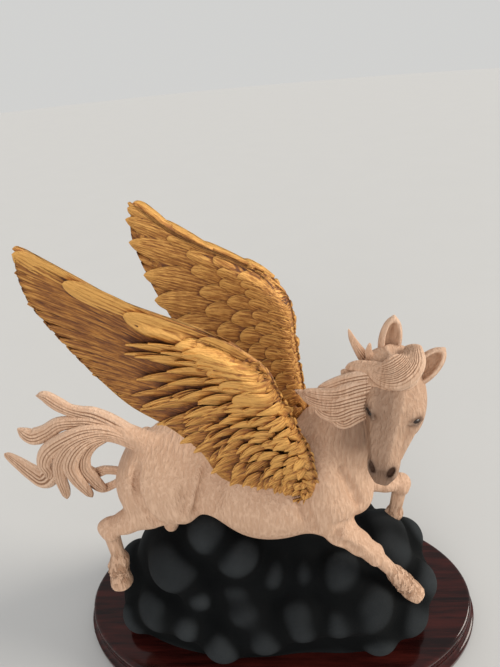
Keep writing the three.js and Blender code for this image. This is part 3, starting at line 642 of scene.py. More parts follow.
neck_stations = [
    (0, 0, 21, 31, 31),
    (0.25, -4, 19, 30, 29),
    (0.5, -4, 15.5, 24, 24),
    (0.75, -2, 12, 18.5, 18.5),
    (0.93, 0, 10.5, 15, 14),
    (1.03, 0, 6.5, 8.5, 8),
]
add(loft(NECK_BASE, POLL, (-1, 0, 0.4), neck_stations), 12)
# Muscles of each side: place, half sizes, how far the top leans forwards, and blend
muscles = [
    # Croup, thigh, hamstring and stifle
    ((-69, 15, 166), (27, 18, 17), 0, 8),
    ((-65, 20, 158), (18, 15, 22), 0.25, 5),
    ((-85, 18, 155), (9, 12.5, 22), -0.2, 3.5),
    ((-55, 24, 154), (13, 11, 15), 0.2, 3.5),
    # Shoulder blade, upper arm, elbow and breast
    ((34, 19, 168), (13, 14, 24), 0.35, 6),
    ((40, 22, 150), (16, 14, 17), 0, 5),
    ((32, 24, 139), (12, 10, 11), 0, 5),
    ((57, 11, 147), (12, 12, 18), 0, 5),
    # Ribs behind the elbow
    ((0, 20, 146), (30, 17, 24), 0, 10),
]
for side, ((along, aside, above), half, lean, blend) in itertools.product((-1, 1), muscles):
    add(ball((along, side * aside, above), half, up=(lean, 0, 1)), blend)
# The nub under the flank, and the dock
add(limb((-65, -14, 132), (-68, -14, 122), 6.5, 5), 2)
add(limb((-68, 0, 178), (-97, 0, 202), 8.5, 4.5), 5)


def frustum(start, end, start_radius, end_radius, edge=0.8):
    """A cone cut off flat at both ends, with rounded edges."""
    first, last = np.array(start, float), np.array(end, float)
    length = np.linalg.norm(last - first)
    along = (last - first) / length

    def depth(points):
        share = (points - first) @ along / length
        gap = np.linalg.norm(points - first - (share * length)[:, None] * along, axis=1)
        aside = gap - start_radius - (end_radius - start_radius) * share + edge
        beyond = np.abs(share - 0.5) * length - 0.5 * length + edge
        outside = np.hypot(np.maximum(aside, 0), np.maximum(beyond, 0))
        return outside + np.minimum(np.maximum(aside, beyond), 0) - edge

    widest = max(start_radius, end_radius)
    return depth, np.minimum(first, last) - widest, np.maximum(first, last) + widest


# Bones of each leg: hip or shoulder, knee or hock, fetlock, coronet and sole
LEG_GIRTH = 11
legs = [
    [(34, -26, 142), (67, -30, 109), (84, -30, 85), (91, -30, 74), (98, -30, 63)],
    [(51, 12.5, 136), (95, 17.5, 121), (92.5, 16.5, 91), (85.5, 13.5, 81), (79.5, 11, 70)],
    [(-62, -20, 150), (-105, -26.5, 135), (-104, -28.5, 105), (-107, -29.5, 94), (-107, -30.5, 82)],
    [(-56, 21, 150), (-85, 37, 110), (-77, 45.5, 76), (-70, 48, 65), (-61, 49, 57)],
]
# Which way the tuft of each fetlock lies
tuft_sides = (1, 1, -1, -1)
for (start, knee, fetlock, coronet, sole), tuft_side in zip(np.array(legs), tuft_sides):
    upper, shin, foot = unit(knee - start), unit(fetlock - knee), unit(coronet - fetlock)
    back = tuft_side * unit((upper @ shin) * shin - upper)
    aside = np.cross(back, shin)
    # Upper leg
    joints = [start + share * (knee - start) for share in (0, 0.35, 0.72, 1)]
    girths = [share * LEG_GIRTH for share in (0.8, 0.9, 0.68, 0.56)]
    for k, blend in enumerate((5, 3, 3)):
        add(limb(*joints[k : k + 2], *girths[k : k + 2]), blend)
    # Knee or hock with its bony corners, and the cannon with the tendon behind it
    add(ball(knee, (6.6, 6.2, 8), back, shin), 2.5)
    add(ball(knee + 4 * back - 1.5 * shin, (3.6, 3.4, 4.4), back, shin), 2)
    for flank in (-1, 1):
        add(ball(knee + 4.8 * flank * aside + 2.6 * shin - back, (3, 2.6, 3.4), back, shin), 1.5)
    add(limb(knee + 4 * shin, fetlock, 5, 4.2), 3)
    add(limb(knee + 5 * shin + 2.4 * back, fetlock + 2.4 * back, 2.6, 2.4), 1.2)
    # Fetlock, its tuft of hair, the wrinkled pastern and the hoof
    add(ball(fetlock, (6, 5.8, 6.6), back, shin), 2.5)
    add(limb(fetlock + 3 * back, fetlock + 7 * back + 5 * foot, 3.8, 1.6), 2)
    add(limb(fetlock + 2 * back + 2 * aside, fetlock + 6 * back + 3 * aside + 7 * foot, 2.2, 0.9), 1)
    add(limb(fetlock, coronet, 5.2, 5.8), 2)
    for share in (0.42, 0.68, 0.94):
        ring = fetlock + share * (coronet - fetlock)
        add(ball(ring, (1.3, 6.5 + share, 6.5 + share), foot, back), 0.9)
    add(frustum(coronet, sole, 6.4, 8), 0.8)


PROBE_START = 64


def groove(side, places, radius, deep):
    """Draws a round tool along one side of the horse, through places told by length and height."""
    reach = np.linspace(PROBE_START, 0, 2 * PROBE_START + 1)
    tips = []
    for along, height in places:
        probe = np.stack(np.broadcast_arrays(along, side * reach, height), axis=1)
        touched = np.argmax(horse_clay.depth(probe) < 0)
        tips.append((along, side * (reach[touched] + radius - deep), height))
    for first, last in itertools.pairwise(tips):
        cut(limb(first, last, radius, radius), 3)


for side in (-1, 1):
    # Behind the thigh, three before it, behind the elbow, and before the shoulder
    groove(side, [(-80, 182), (-78, 167), (-75, 156), (-69, 146)], 2.8, 2.1)
    groove(side, [(-28, 190), (-31, 176), (-35, 163), (-39, 153)], 8, 2.2)
    groove(side, [(-33, 192), (-36, 178), (-40, 165), (-44, 155)], 2.2, 1.6)
    groove(side, [(-47, 170), (-49, 161)], 4, 1.7)
    groove(side, [(20, 172), (24, 155), (28, 140)], 3.5, 2.4)
    groove(side, [(47, 180), (54, 162), (58, 150)], 3, 2)
groove(-1, [(-80, 131), (-65, 138), (-57, 142)], 2.2, 1.6)
groove(-1, [(47, 144), (43, 137), (41, 132), (48, 128), (56, 120)], 1.8, 1.2)
HEAD_AXIS = np.array((-0.167, -0.44, -0.881))
FACE_UP = np.array((-0.468, -0.752, 0.464))
HEAD_SIDE = np.cross(HEAD_AXIS, FACE_UP)


def on_head(along, aside, above):
    """A place told by how far it lies down the face from the poll, to the horse's right, and out of it."""
    return POLL + along * HEAD_AXIS + aside * HEAD_SIDE + above * FACE_UP


head_stations = [
    (-0.06, -5, 5, 4, 6.5),
    (0, -4, 10, 6, 13),
    (0.14, -1.8, 12.8, 10.4, 17),
    (0.3, -0.3, 14, 11.6, 18.5),
    (0.45, 0.4, 13.2, 10.4, 17.5),
    (0.6, 0.8, 11, 8.6, 13.5),
    (0.75, 0.8, 8.8, 7.4, 10.2),
    (0.88, 0.4, 8.4, 7, 8.8),
    (0.97, -0.4, 7.4, 6.2, 7.6),
    (1.05, -1, 3.8, 3.6, 4),
]
nose_stations = [
    (0.1, 4, 9, 8.4, 6),
    (0.35, 4, 9.8, 8.7, 6),
    (0.55, 4, 8, 7.2, 6),
    (0.75, 4, 6, 5.6, 5),
    (0.9, 3, 5, 4.6, 5),
]
HEAD_END = on_head(66, 0, 0)
add(loft(POLL, HEAD_END, FACE_UP, head_stations, 2.4), 4)
add(loft(POLL, HEAD_END, FACE_UP, nose_stations, 6), 1.6)
# Painted shade, and some brown wash: a form, how far the paint fades beyond it, and its strength
shades_and_washes = []
# Eyes: the place, the way the slit runs and the way it looks, each told along the face, aside and out of it
eyes = {
    "right_eye": ((29.7, 7.8, 11.3), (0.7, -0.6, 0.2), (0.16, 0.5, 0.85)),
    "left_eye": ((31.3, -14, 2), (-0.3, -0.5, -0.8), (-0.2, -0.84, 0.48)),
}
nostrils = [(59.4, 4.1, 7.6), (60.2, -5.9, 6)]


def head_way(along, aside, above):
    return unit(along * HEAD_AXIS + aside * HEAD_SIDE + above * FACE_UP)


def head_ball(along, aside, above, *radii):
    return ball(on_head(along, aside, above), radii, HEAD_AXIS, FACE_UP)


for side in (-1, 1):
    # Cheek, the bone below the eye, temple, the hollow beside the nose, and the mouth, with its line painted
    # dark as shade
    add(head_ball(26, side * 9.8, -7, 16, 6.4, 11), 3)
    add(limb(on_head(34, side * 13, 0.5), on_head(52, side * 8, 0.5), 2.6, 1.5), 2)
    cut(head_ball(15, side * 14, 8.5, 5.5, 3, 3), 3)
    cut(head_ball(47, side * 12, 7, 10, 3, 2.6), 3)
    mouth = limb(on_head(70, 0, -3.4), on_head(57, side * 10, -4.4), 1.1, 0.6)
    cut(mouth, 0.8)
    shades_and_washes.append((mouth, 0.8, 0.9))
for place, slit, gaze in eyes.values():
    # Brow, socket and two lids, with painted shade round the socket
    middle, slit, gaze = on_head(*place), head_way(*slit), head_way(*gaze)
    across = np.cross(gaze, slit)
    add(ball(middle - 5.2 * HEAD_AXIS - 1.9 * gaze, (6.5, 4.2, 3.2), slit, gaze), 2.5)
    socket = ball(middle + 0.6 * gaze, (4, 1.9, 1.9), slit, gaze)
    cut(socket, 0.8)
    for rise in (-2, 2):
        lid = [middle - 4.2 * slit, middle + rise * across + 0.4 * gaze, middle + 4.2 * slit]
        for first, last in itertools.pairwise(lid):
            add(limb(first, last, 0.8, 0.8), 0.6)
    shades_and_washes.append((socket, 1.0, 0.7))
# Nostrils: a rim, and a hollow with painted shade in it
for along, aside, above in nostrils:
    side = np.sign(aside)
    add(head_ball(along, aside - 0.6 * side, above - 2.8, 5, 3.4, 3.4), 1.5)
    nostril = ball(on_head(along, aside, above), (3.3, 1.5, 2.7), HEAD_AXIS - 0.5 * side * HEAD_SIDE, FACE_UP)
    cut(nostril, 0.9)
    shades_and_washes.append((nostril, 1.0, 0.85))
# Chin
add(head_ball(63, 0, -7.6, 5.8, 5.2, 3.6), 1.5)
# A brown wash over the muzzle, darker paint down the face, and painted shade on the neck where the mane
# shades it
shades_and_washes.append((head_ball(66, 0, 3, 6, 8, 7), 4, 0.6))
shades_and_washes.append((limb(on_head(10, 1, 9), on_head(58, 1, 8), 6, 4), 3, 0.36))
shades_and_washes.append((limb((68, -24, 226), (54, -26, 204), 10, 7), 10, 0.5))

HORSE_STEP = 1.2
corners, faces = horse_clay.surface((-120, -66, 40), (112, 60, 268), HORSE_STEP)
horse = mesh_piece("horse", corners, faces)


def settle(obj, clay, rounds=3, probe=0.2, longest=0.6):
    """Moves each corner on to the clay's own skin."""
    for _ in range(rounds):
        corners = corners_of(obj)
        here = clay.depth(corners)
        slope = np.stack([clay.depth(corners + probe * step) - here for step in np.eye(3)], axis=1) / probe
        steep = np.maximum((slope**2).sum(axis=1), 0.05)
        corners -= np.clip(here / steep, -longest, longest)[:, None] * slope
        obj.data.vertices.foreach_set("co", (corners * MM).astype(np.float32).ravel())
        obj.data.update()


# Only the head has a finer mesh, with edges half as long
HEAD_MIDDLE = on_head(33, 0, 0)
HEAD_REACH = 37


def near_head(obj):
    return np.linalg.norm(corners_of(obj) - HEAD_MIDDLE, axis=1) < HEAD_REACH


chosen = near_head(horse)
horse.data.polygons.foreach_set("select", np.zeros(len(horse.data.polygons), bool))
horse.data.vertices.foreach_set("select", chosen)
horse.data.edges.foreach_set("select", chosen[edges_of(horse)].all(axis=1))
bpy.context.tool_settings.mesh_select_mode = (False, True, False)
in_edit_mode(horse)
bpy.ops.mesh.subdivide(number_cuts=1)
bpy.ops.object.mode_set(mode="OBJECT")
settle(horse, horse_clay)
horse.data.shade_smooth()
# A bend measured over edges twice as long comes out four times as deep
mark(horse, "crease", hollows(horse, 3) * np.where(near_head(horse), 1, 0.25))
corners = corners_of(horse)
bare = np.ones(len(corners))
for (depth, low, high), fade, strength in shades_and_washes:
    near = np.all((corners > low - 4 * fade) & (corners < high + 4 * fade), axis=1)
    bare[near] *= 1 - strength * np.exp(-np.maximum(depth(corners[near]), 0) / fade)
mark(horse, "shade_and_wash", 1 - bare)
mark(horse, "upward", normals_of(horse)[:, 2])
# Carved hair lies round each fetlock and fades out over the cannon and the hoof
HAIR_REACH = 8
on_foot = np.zeros(len(corners))
for _, _, fetlock, coronet, _ in legs:
    depth = limb(fetlock, coronet, HAIR_REACH, HAIR_REACH)[0]
    on_foot = np.maximum(on_foot, np.clip(1 - depth(corners) / HAIR_REACH, 0, 1))
mark(horse, "foot", on_foot)
cream = Finish("cream resin", Roughness=0.68, Specular_IOR_Level=0.3)
falling = cream.place.mapped((0.15, 0.3, 0), (620, 620, 110)).noise(1, 3, 0.55)
from_spine = cream.place.mapped((0, 0, 0.35), (620, 110, 620)).noise(1, 3, 0.55)
topside = cream.measure("upward").between(0.5, 0.75)
fur = (falling * (1 - topside) + from_spine * topside).between(0.34, 0.66)
fine = cream.place.mapped((-0.1, 0.1, 0), (1100, 1100, 300)).noise(1, 2)
blotch = cream.place.noise(24, 3)
# The paint is darker brown down in creases, both a brown wash settled there and painted shade, and lighter on
# the crowns
crease_wash_and_shade = cream.measure("crease").between(-0.01, 0.11) * 0.8
crown_lightening = cream.measure("crease").between(0.0, -0.14) * 0.5
paint = (blotch * 0.35 + fur * 0.35 + fine * 0.3).tint((0.42, 0.24, 0.145), (0.7, 0.475, 0.33))
paint = crown_lightening.tint(paint, (0.77, 0.56, 0.41))
paint = crease_wash_and_shade.tint(paint, (0.22, 0.1, 0.045))
# The carved hair round the fetlocks is bumped, not cut deep, and its grooves are painted dark brown: partly
# wash, partly painted shade
curls = cream.place.mapped((0.5, 0.3, 0.2), (420, 420, 120)).noise(1, 2)
carved = curls.between(0.46, 0.58) * cream.measure("foot")
paint = (carved * 0.6).tint(paint, (0.25, 0.12, 0.06))
cream.set(Base_Color=cream.measure("shade_and_wash").tint(paint, (0.055, 0.025, 0.014)))
cream.set(Normal=cream.place.bump(fur + fine * 0.4 - carved * 1.6, 0.45))
leg_nodes = ("right_foreleg", "left_foreleg", "right_hind_leg", "left_hind_leg")
fit(horse, cream, "cream_resin", "horse_body", *leg_nodes)

# Ears: two leaf-shaped cups of the same resin, one pricked and one laid over.
# Each is a pinched leaf of clay with its front scooped out. Places are told from the poll.


def ear(name, root, tip, front, width):
    root, tip = POLL + root, POLL + tip
    length = np.linalg.norm(tip - root)
    rise = (tip - root) / length
    front = unit(front)
    middle = root + 0.42 * length * rise
    clay = Clay()
    clay.add(ball(middle, (0.56 * length, 0.5 * width, 0.4 * width), rise, front), 1)
    clay.add(limb(middle, tip, 2.6, 0.5), 2)
    clay.add(limb(root - 4 * rise, middle, 4.2, 3.4), 2)
    scoop = middle + 0.08 * length * rise + 0.4 * width * front
    clay.cut(ball(scoop, (0.46 * length, 0.32 * width, 0.46 * width), rise, front), 1)
    made = mesh_piece(name, *clay.surface(middle - 22, middle + 22, 0.6))
    # Its hollows take the horse's darker brown, both wash and painted shade
    mark(made, "crease", hollows(made, 3) * 2)
    fit(made, cream, "cream_resin")


ear("right_ear", (-4.5, 5, -4), (-1.5, 9, 20), (0.1, -1, 0.1), 12.5)
ear("left_ear", (7, -4, -14), (22.5, -3, 6), (-0.3, -0.9, 0.3), 13)

# Eyes: small dark almonds painted glossy under the brows.
# They are the only glossy spots on the horse.
pupil = Finish("painted eye", Roughness=0.25, Specular_IOR_Level=0.4)
iris = pupil.place.noise(700, 2)
pupil.set(Base_Color=iris.tint((0.008, 0.005, 0.004), (0.03, 0.015, 0.009)))
for name, (place, slit, gaze) in eyes.items():
    middle, slit, gaze = on_head(*place), head_way(*slit), head_way(*gaze)
    almond = Clay()
    almond.add(ball(middle - 0.2 * gaze, (3.3, 1.5, 1.5), slit, gaze), 1)
    eye = mesh_piece(name, *almond.surface(middle - 5, middle + 5, 0.4))
    fit(eye, pupil, "cream_resin")

# Mane, crest and forelock: wavy locks cast with the horse, each a ribbon of resin combed into strands.
# Places are told from the poll, and each has the ribbon's width there.


def ring_faces(rows, count):
    """The faces of a closed skin through rows of rings, with its two end caps."""
    faces = []
    for i in range(rows - 1):
        for j in range(count):
            k = (j + 1) % count
            faces.append((i * count + j, i * count + k, (i + 1) * count + k, (i + 1) * count + j))
    faces.append(tuple(range(count))[::-1])
    faces.append(tuple(range((rows - 1) * count, rows * count)))
    return faces


def joined_piece(name, skins):
    """One mesh object from many closed skins of rings."""
    corners, faces, first = [], [], 0
    for rings in skins:
        rows, count = rings.shape[:2]
        faces += [[first + c for c in face] for face in ring_faces(rows, count)]
        corners.append(rings.reshape(-1, 3))
        first += rows * count
    made = mesh_piece(name, np.concatenate(corners), faces)
    face_outwards(made)
    return made


LOCK_THICKNESS = 0.5
LOCK_TIP = 0.06


def lock(origin, points, facing, *, ridges=2, cup=0, rows=48, relief=0.2):
    """A lock of hair: a leaf that faces one way, with its face combed into ridges and its back plain.
    A cup turns its face from rounded at the root to hollow at the tip."""
    path = curve_through(points, rows)
    share = np.linspace(0, 1, rows)
    half = np.maximum(path[:, 3] / 2, 0.3) * np.sqrt(np.clip((1.002 - share) / LOCK_TIP, 0, 1))
    crown = half * (LOCK_THICKNESS - cup * share**2)
    belly = half * (0.8 * LOCK_THICKNESS + cup * share**2)
    spine = origin + path[:, :3]
    along = np.gradient(spine, axis=0)
    across = np.cross(along, facing)
    across /= np.linalg.norm(across, axis=1)[:, None]
    up = np.cross(across, along)
    up /= np.linalg.norm(up, axis=1)[:, None]
    face, back = np.linspace(-1, 1, 8 * ridges + 1), np.linspace(1, -1, 9)[1:-1]
    turn = np.pi * ridges * (face + 1 + 0.18 * np.sin(3 * face))
    comb = 0.75 * np.abs(np.sin(turn)) + 0.08 * np.abs(np.sin(3 * turn + 1))
    drift = 0.75 + 0.25 * np.sin(7 * share)
    arch = np.sqrt(1 - face**2)
    combed = relief * (drift * half)[:, None] * comb * arch**0.5
    rise = np.concatenate([crown[:, None] * arch + combed, -belly[:, None] * np.sqrt(1 - back**2)], axis=1)
    aside = half[:, None] * np.concatenate([face, back])
    return spine[:, None] + aside[..., None] * across[:, None] + rise[..., None] * up[:, None]


mane_lines = [
    [(-10, -6, -8, 8), (-20, -8.5, -7, 9), (-29, -6.5, -9, 8), (-37, -4.5, -14, 7), (-43, -3, -18, 3)],
    [(-11, -7, -13, 9), (-24, -9.5, -14, 10), (-35, -6.5, -20, 9), (-45, -4.5, -21, 7), (-55, -3, -16, 2)],
    [(-12, -8, -18, 9), (-25, -10, -19, 10), (-35, -7.5, -25, 9), (-43, -5, -25, 7), (-51, -3, -20, 2)],
    [(-12, -8, -23, 9), (-24, -10.5, -25, 10), (-33, -9, -30, 9), (-40, -6.5, -29, 7), (-46, -5, -24, 2)],
    [(-13, -7, -27, 8), (-23, -10, -30, 9), (-30, -10, -33, 8), (-36, -8, -31, 6), (-41, -6, -27, 2)],
]
far_lines = [
    [(-12, 6, -10, 8), (-18, 15, -20, 10), (-23, 20, -31, 9), (-27, 24, -42, 6), (-30, 27, -51, 2)],
    [(-19, 8, -22, 9), (-25, 18, -33, 11), (-30, 23, -44, 10), (-34, 27, -54, 7), (-38, 30, -61, 2)],
    [(-27, 10, -34, 9), (-32, 20, -45, 10), (-36, 25, -55, 9), (-39, 29, -63, 6), (-42, 32, -69, 2)],
]


def between_lines(lines, count):
    """Curves spread evenly between neighbouring curves of equally many points."""
    spread = curve_through([np.ravel(line) for line in lines], count)
    return [row.reshape(len(lines[0]), -1) for row in spread]


skins = []
for index, line in enumerate(between_lines(mane_lines, 8)):
    line = line + [(0, -1.4 * (index % 2), 0.8 * math.sin(2 * k + index), 0) for k in range(5)]
    skins.append(lock(POLL, line, (0, -1, 0.3), relief=0.24))
for line in between_lines(far_lines, 6):
    skins.append(lock(POLL, line, (0.2, 1, 0.3)))
crest_lines = [
    [(-13, 6, -7, 6), (-17, 4, -2, 6.5), (-21, 3, 5, 5), (-24, 3, 11, 3.5), (-26, 3, 17, 1)],
    [(-12, 2, -6, 5), (-14, 0, -1, 5), (-15.5, 0, 4, 4), (-15, 1, 9, 1.5)],
]
skins += [lock(POLL, line, (0.2, -1, 0.3)) for line in crest_lines]
mane = joined_piece("mane", skins)


def on_face(line):
    """Poll places of a line told along the face, aside, above it and by width."""
    return [(*(on_head(*p[:3]) - POLL), p[3]) for p in line]


forelock_lines = [
    [(-6, -7, 0, 9), (1, -8.5, 9.5, 16), (6.5, -4, 13.5, 19), (8.5, 3, 13.5, 13.5),
     (7, 10, 13.5, 8), (7, 17, 14, 6), (9, 23, 14, 3)],
    [(0, -9, 6, 8), (9, -9, 9.5, 10), (13, -2, 11, 9), (13, 6, 11.5, 7.5),
     (13, 14, 12, 7), (13, 21, 12, 7), (11, 26, 12, 4)],
]
skins = [lock(POLL, on_face(line), FACE_UP, ridges=7, relief=0.1, rows=64) for line in forelock_lines]
forelock = joined_piece("forelock", skins)


GOLDEN_ANGLE = 2.39996
SKIN_GAP = 0.15


def hidden(obj, reach, rays=14):
    """The share of the view from each corner, up to the reach, that the object itself blocks."""
    tree = BVHTree.FromPolygons([v.co for v in obj.data.vertices], [p.vertices[:] for p in obj.data.polygons])
    turns = np.arange(rays) * GOLDEN_ANGLE
    rise = (np.arange(rays) + 0.5) / rays
    flat = np.sqrt(1 - rise**2)
    fan = [Vector(ray) for ray in np.stack([flat * np.cos(turns), flat * np.sin(turns), rise], axis=1)]
    blocked = []
    for vertex, normal in zip(obj.data.vertices, obj.data.vertex_normals):
        normal = normal.vector
        turn = normal.to_track_quat("Z", "Y").to_matrix()
        origin = vertex.co + normal * SKIN_GAP * MM
        hits = sum(tree.ray_cast(origin, turn @ ray, reach * MM)[0] is not None for ray in fan)
        blocked.append(hits / rays)
    return np.array(blocked)


# The hair is painted darker where it hides itself and in its grooves: painted shade, with the brown wash
# there
for hair in (mane, forelock):
    mark(hair, "crease", 0.16 * hidden(hair, 5) + hollows(hair, 1))
    fit(hair, cream, "cream_resin")

# Tail: broad ribbons of hair that sweep up and back from the dock, cast as one piece and pinned on.
# Places are told from the dock, and each has the ribbon's width there.
DOCK = np.array((-86.7, 0, 185.4))
upper_locks = [
    [(20, 0, -14, 12), (-5, 0, 13, 13), (-18, 0, 23, 12), (-27, 0, 26, 10), (-34, 0, 29, 9),
     (-40, 0, 34, 10), (-46, 0, 40, 8), (-52, 0, 41, 2)],
    [(18, -1, -14, 9), (-7, -2, 12, 9), (-20, -3, 20, 9), (-31, -3, 21, 9), (-42, -3, 20, 10),
     (-52, -3, 14, 11), (-62, -3, 11, 12), (-70, -3, 18, 6)],
]
falling_locks = [
    [(18, -1, -14, 9), (-7, -4, 11, 9), (-22, -7, 17, 9), (-38, -9, 12, 11), (-51, -9, 3, 12),
     (-57, -9, -7, 11), (-57, -8, -16, 9), (-60, -8, -22, 5)],
    [(18, -1, -14, 8), (-7, -5, 10, 8), (-22, -9, 14, 8), (-36, -11, 8, 9), (-45, -12, -4, 9),
     (-48, -12, -17, 9), (-49, -11, -29, 8), (-50, -11, -39, 4)],
    [(18, -1, -14, 8), (-7, -5, 9, 8), (-20, -9, 12, 8), (-31, -12, 6, 10), (-38, -13, -6, 11),
     (-37, -13, -18, 10), (-34, -12, -29, 8), (-32, -11, -38, 4)],
    [(18, -1, -14, 7), (-7, -4, 8, 7), (-18, -8, 9, 7), (-27, -10, 1, 8), (-31, -10, -11, 10),
     (-29, -9, -21, 10), (-26, -8, -30, 8), (-23, -8, -36, 4)],
]
cupped_lock = [
    (-26, -4, 10, 9), (-46, -5, -2, 12), (-57, -4, -19, 15), (-66, -3, -27, 15),
    (-73, -3, -21, 13), (-79, -3, -13, 10), (-84, -3, -6, 6), (-86, -3, -3, 2),
]
inner_locks = [
    [(-34, -6, -14, 8), (-28, -5, -21, 8), (-20, -4, -20, 7), (-8, -3, -23, 7)],
    [(-31, -7, -29, 7), (-26, -6, -35, 7), (-18, -5, -33, 6), (-8, -4, -27, 6)],
]
skins = [lock(DOCK, line, (0, -1, 0.3), rows=72, relief=0.24) for line in upper_locks + falling_locks]
skins.append(lock(DOCK, cupped_lock, (-0.2, -1, 0.4), rows=72, relief=0.3, cup=0.7))
skins += [lock(DOCK, line, (0, -1, 0.2)) for line in inner_locks]
tail = joined_piece("tail_hair", skins)
# The tail is painted darker where it hides itself and in its grooves: painted shade, with the brown wash
# there
mark(tail, "crease", 0.12 * hidden(tail, 6) + 0.8 * hollows(tail, 1))
fit(tail, cream, "cream_resin", "tail")

# Wings: two resin castings of layered feathers, painted red-brown, gilded, and rubbed bright on the crowns.
# Rows of feathers lie like tiles on a thin vane, from long flight feathers to small ones round the arm.
WING_SEAT = np.array((28, 30, BODY_AXIS + 25))
WING_LEAN = 0.22
trailing_plan = [
    (0.06, -0.03), (0.24, -0.02), (0.45, 0.05), (0.53, 0.22), (0.64, 0.35), (0.78, 0.46), (0.87, 0.58),
    (0.94, 0.7), (1, 0.84), (1, 0.93), (0.97, 1),
]
# Where feathers point: shares of the arm at their roots, and of the trailing edge at their tips
SWEEP = ((0, 0.3, 0.5, 0.6, 0.8, 1), (0, 0.34, 0.6, 0.76, 0.93, 1))
INNER_SWEEP = ((0, 0.62), (0, 1))
# Barbs are noise drawn out along each feather, from another part of the noise for each
BARB_STRETCH = 0.1
BARB_SHIFT = 7
FEATHER_THICKNESS = 1.1
NARROWEST = 0.3
CROWN_RISE = 0.08
QUILL_WIDTH = 0.12
QUILL_RISE = 0.35
ROOT_FADE, TIP_FADE = 0.15, 0.06
OVERHANG = 7
# How bright the undersides of the feathers and the vane are painted: dark, as painted shade
UNDERSIDE_SHADE = 0.3
LINE_POINTS = 300
NEAR_SPAN = 167


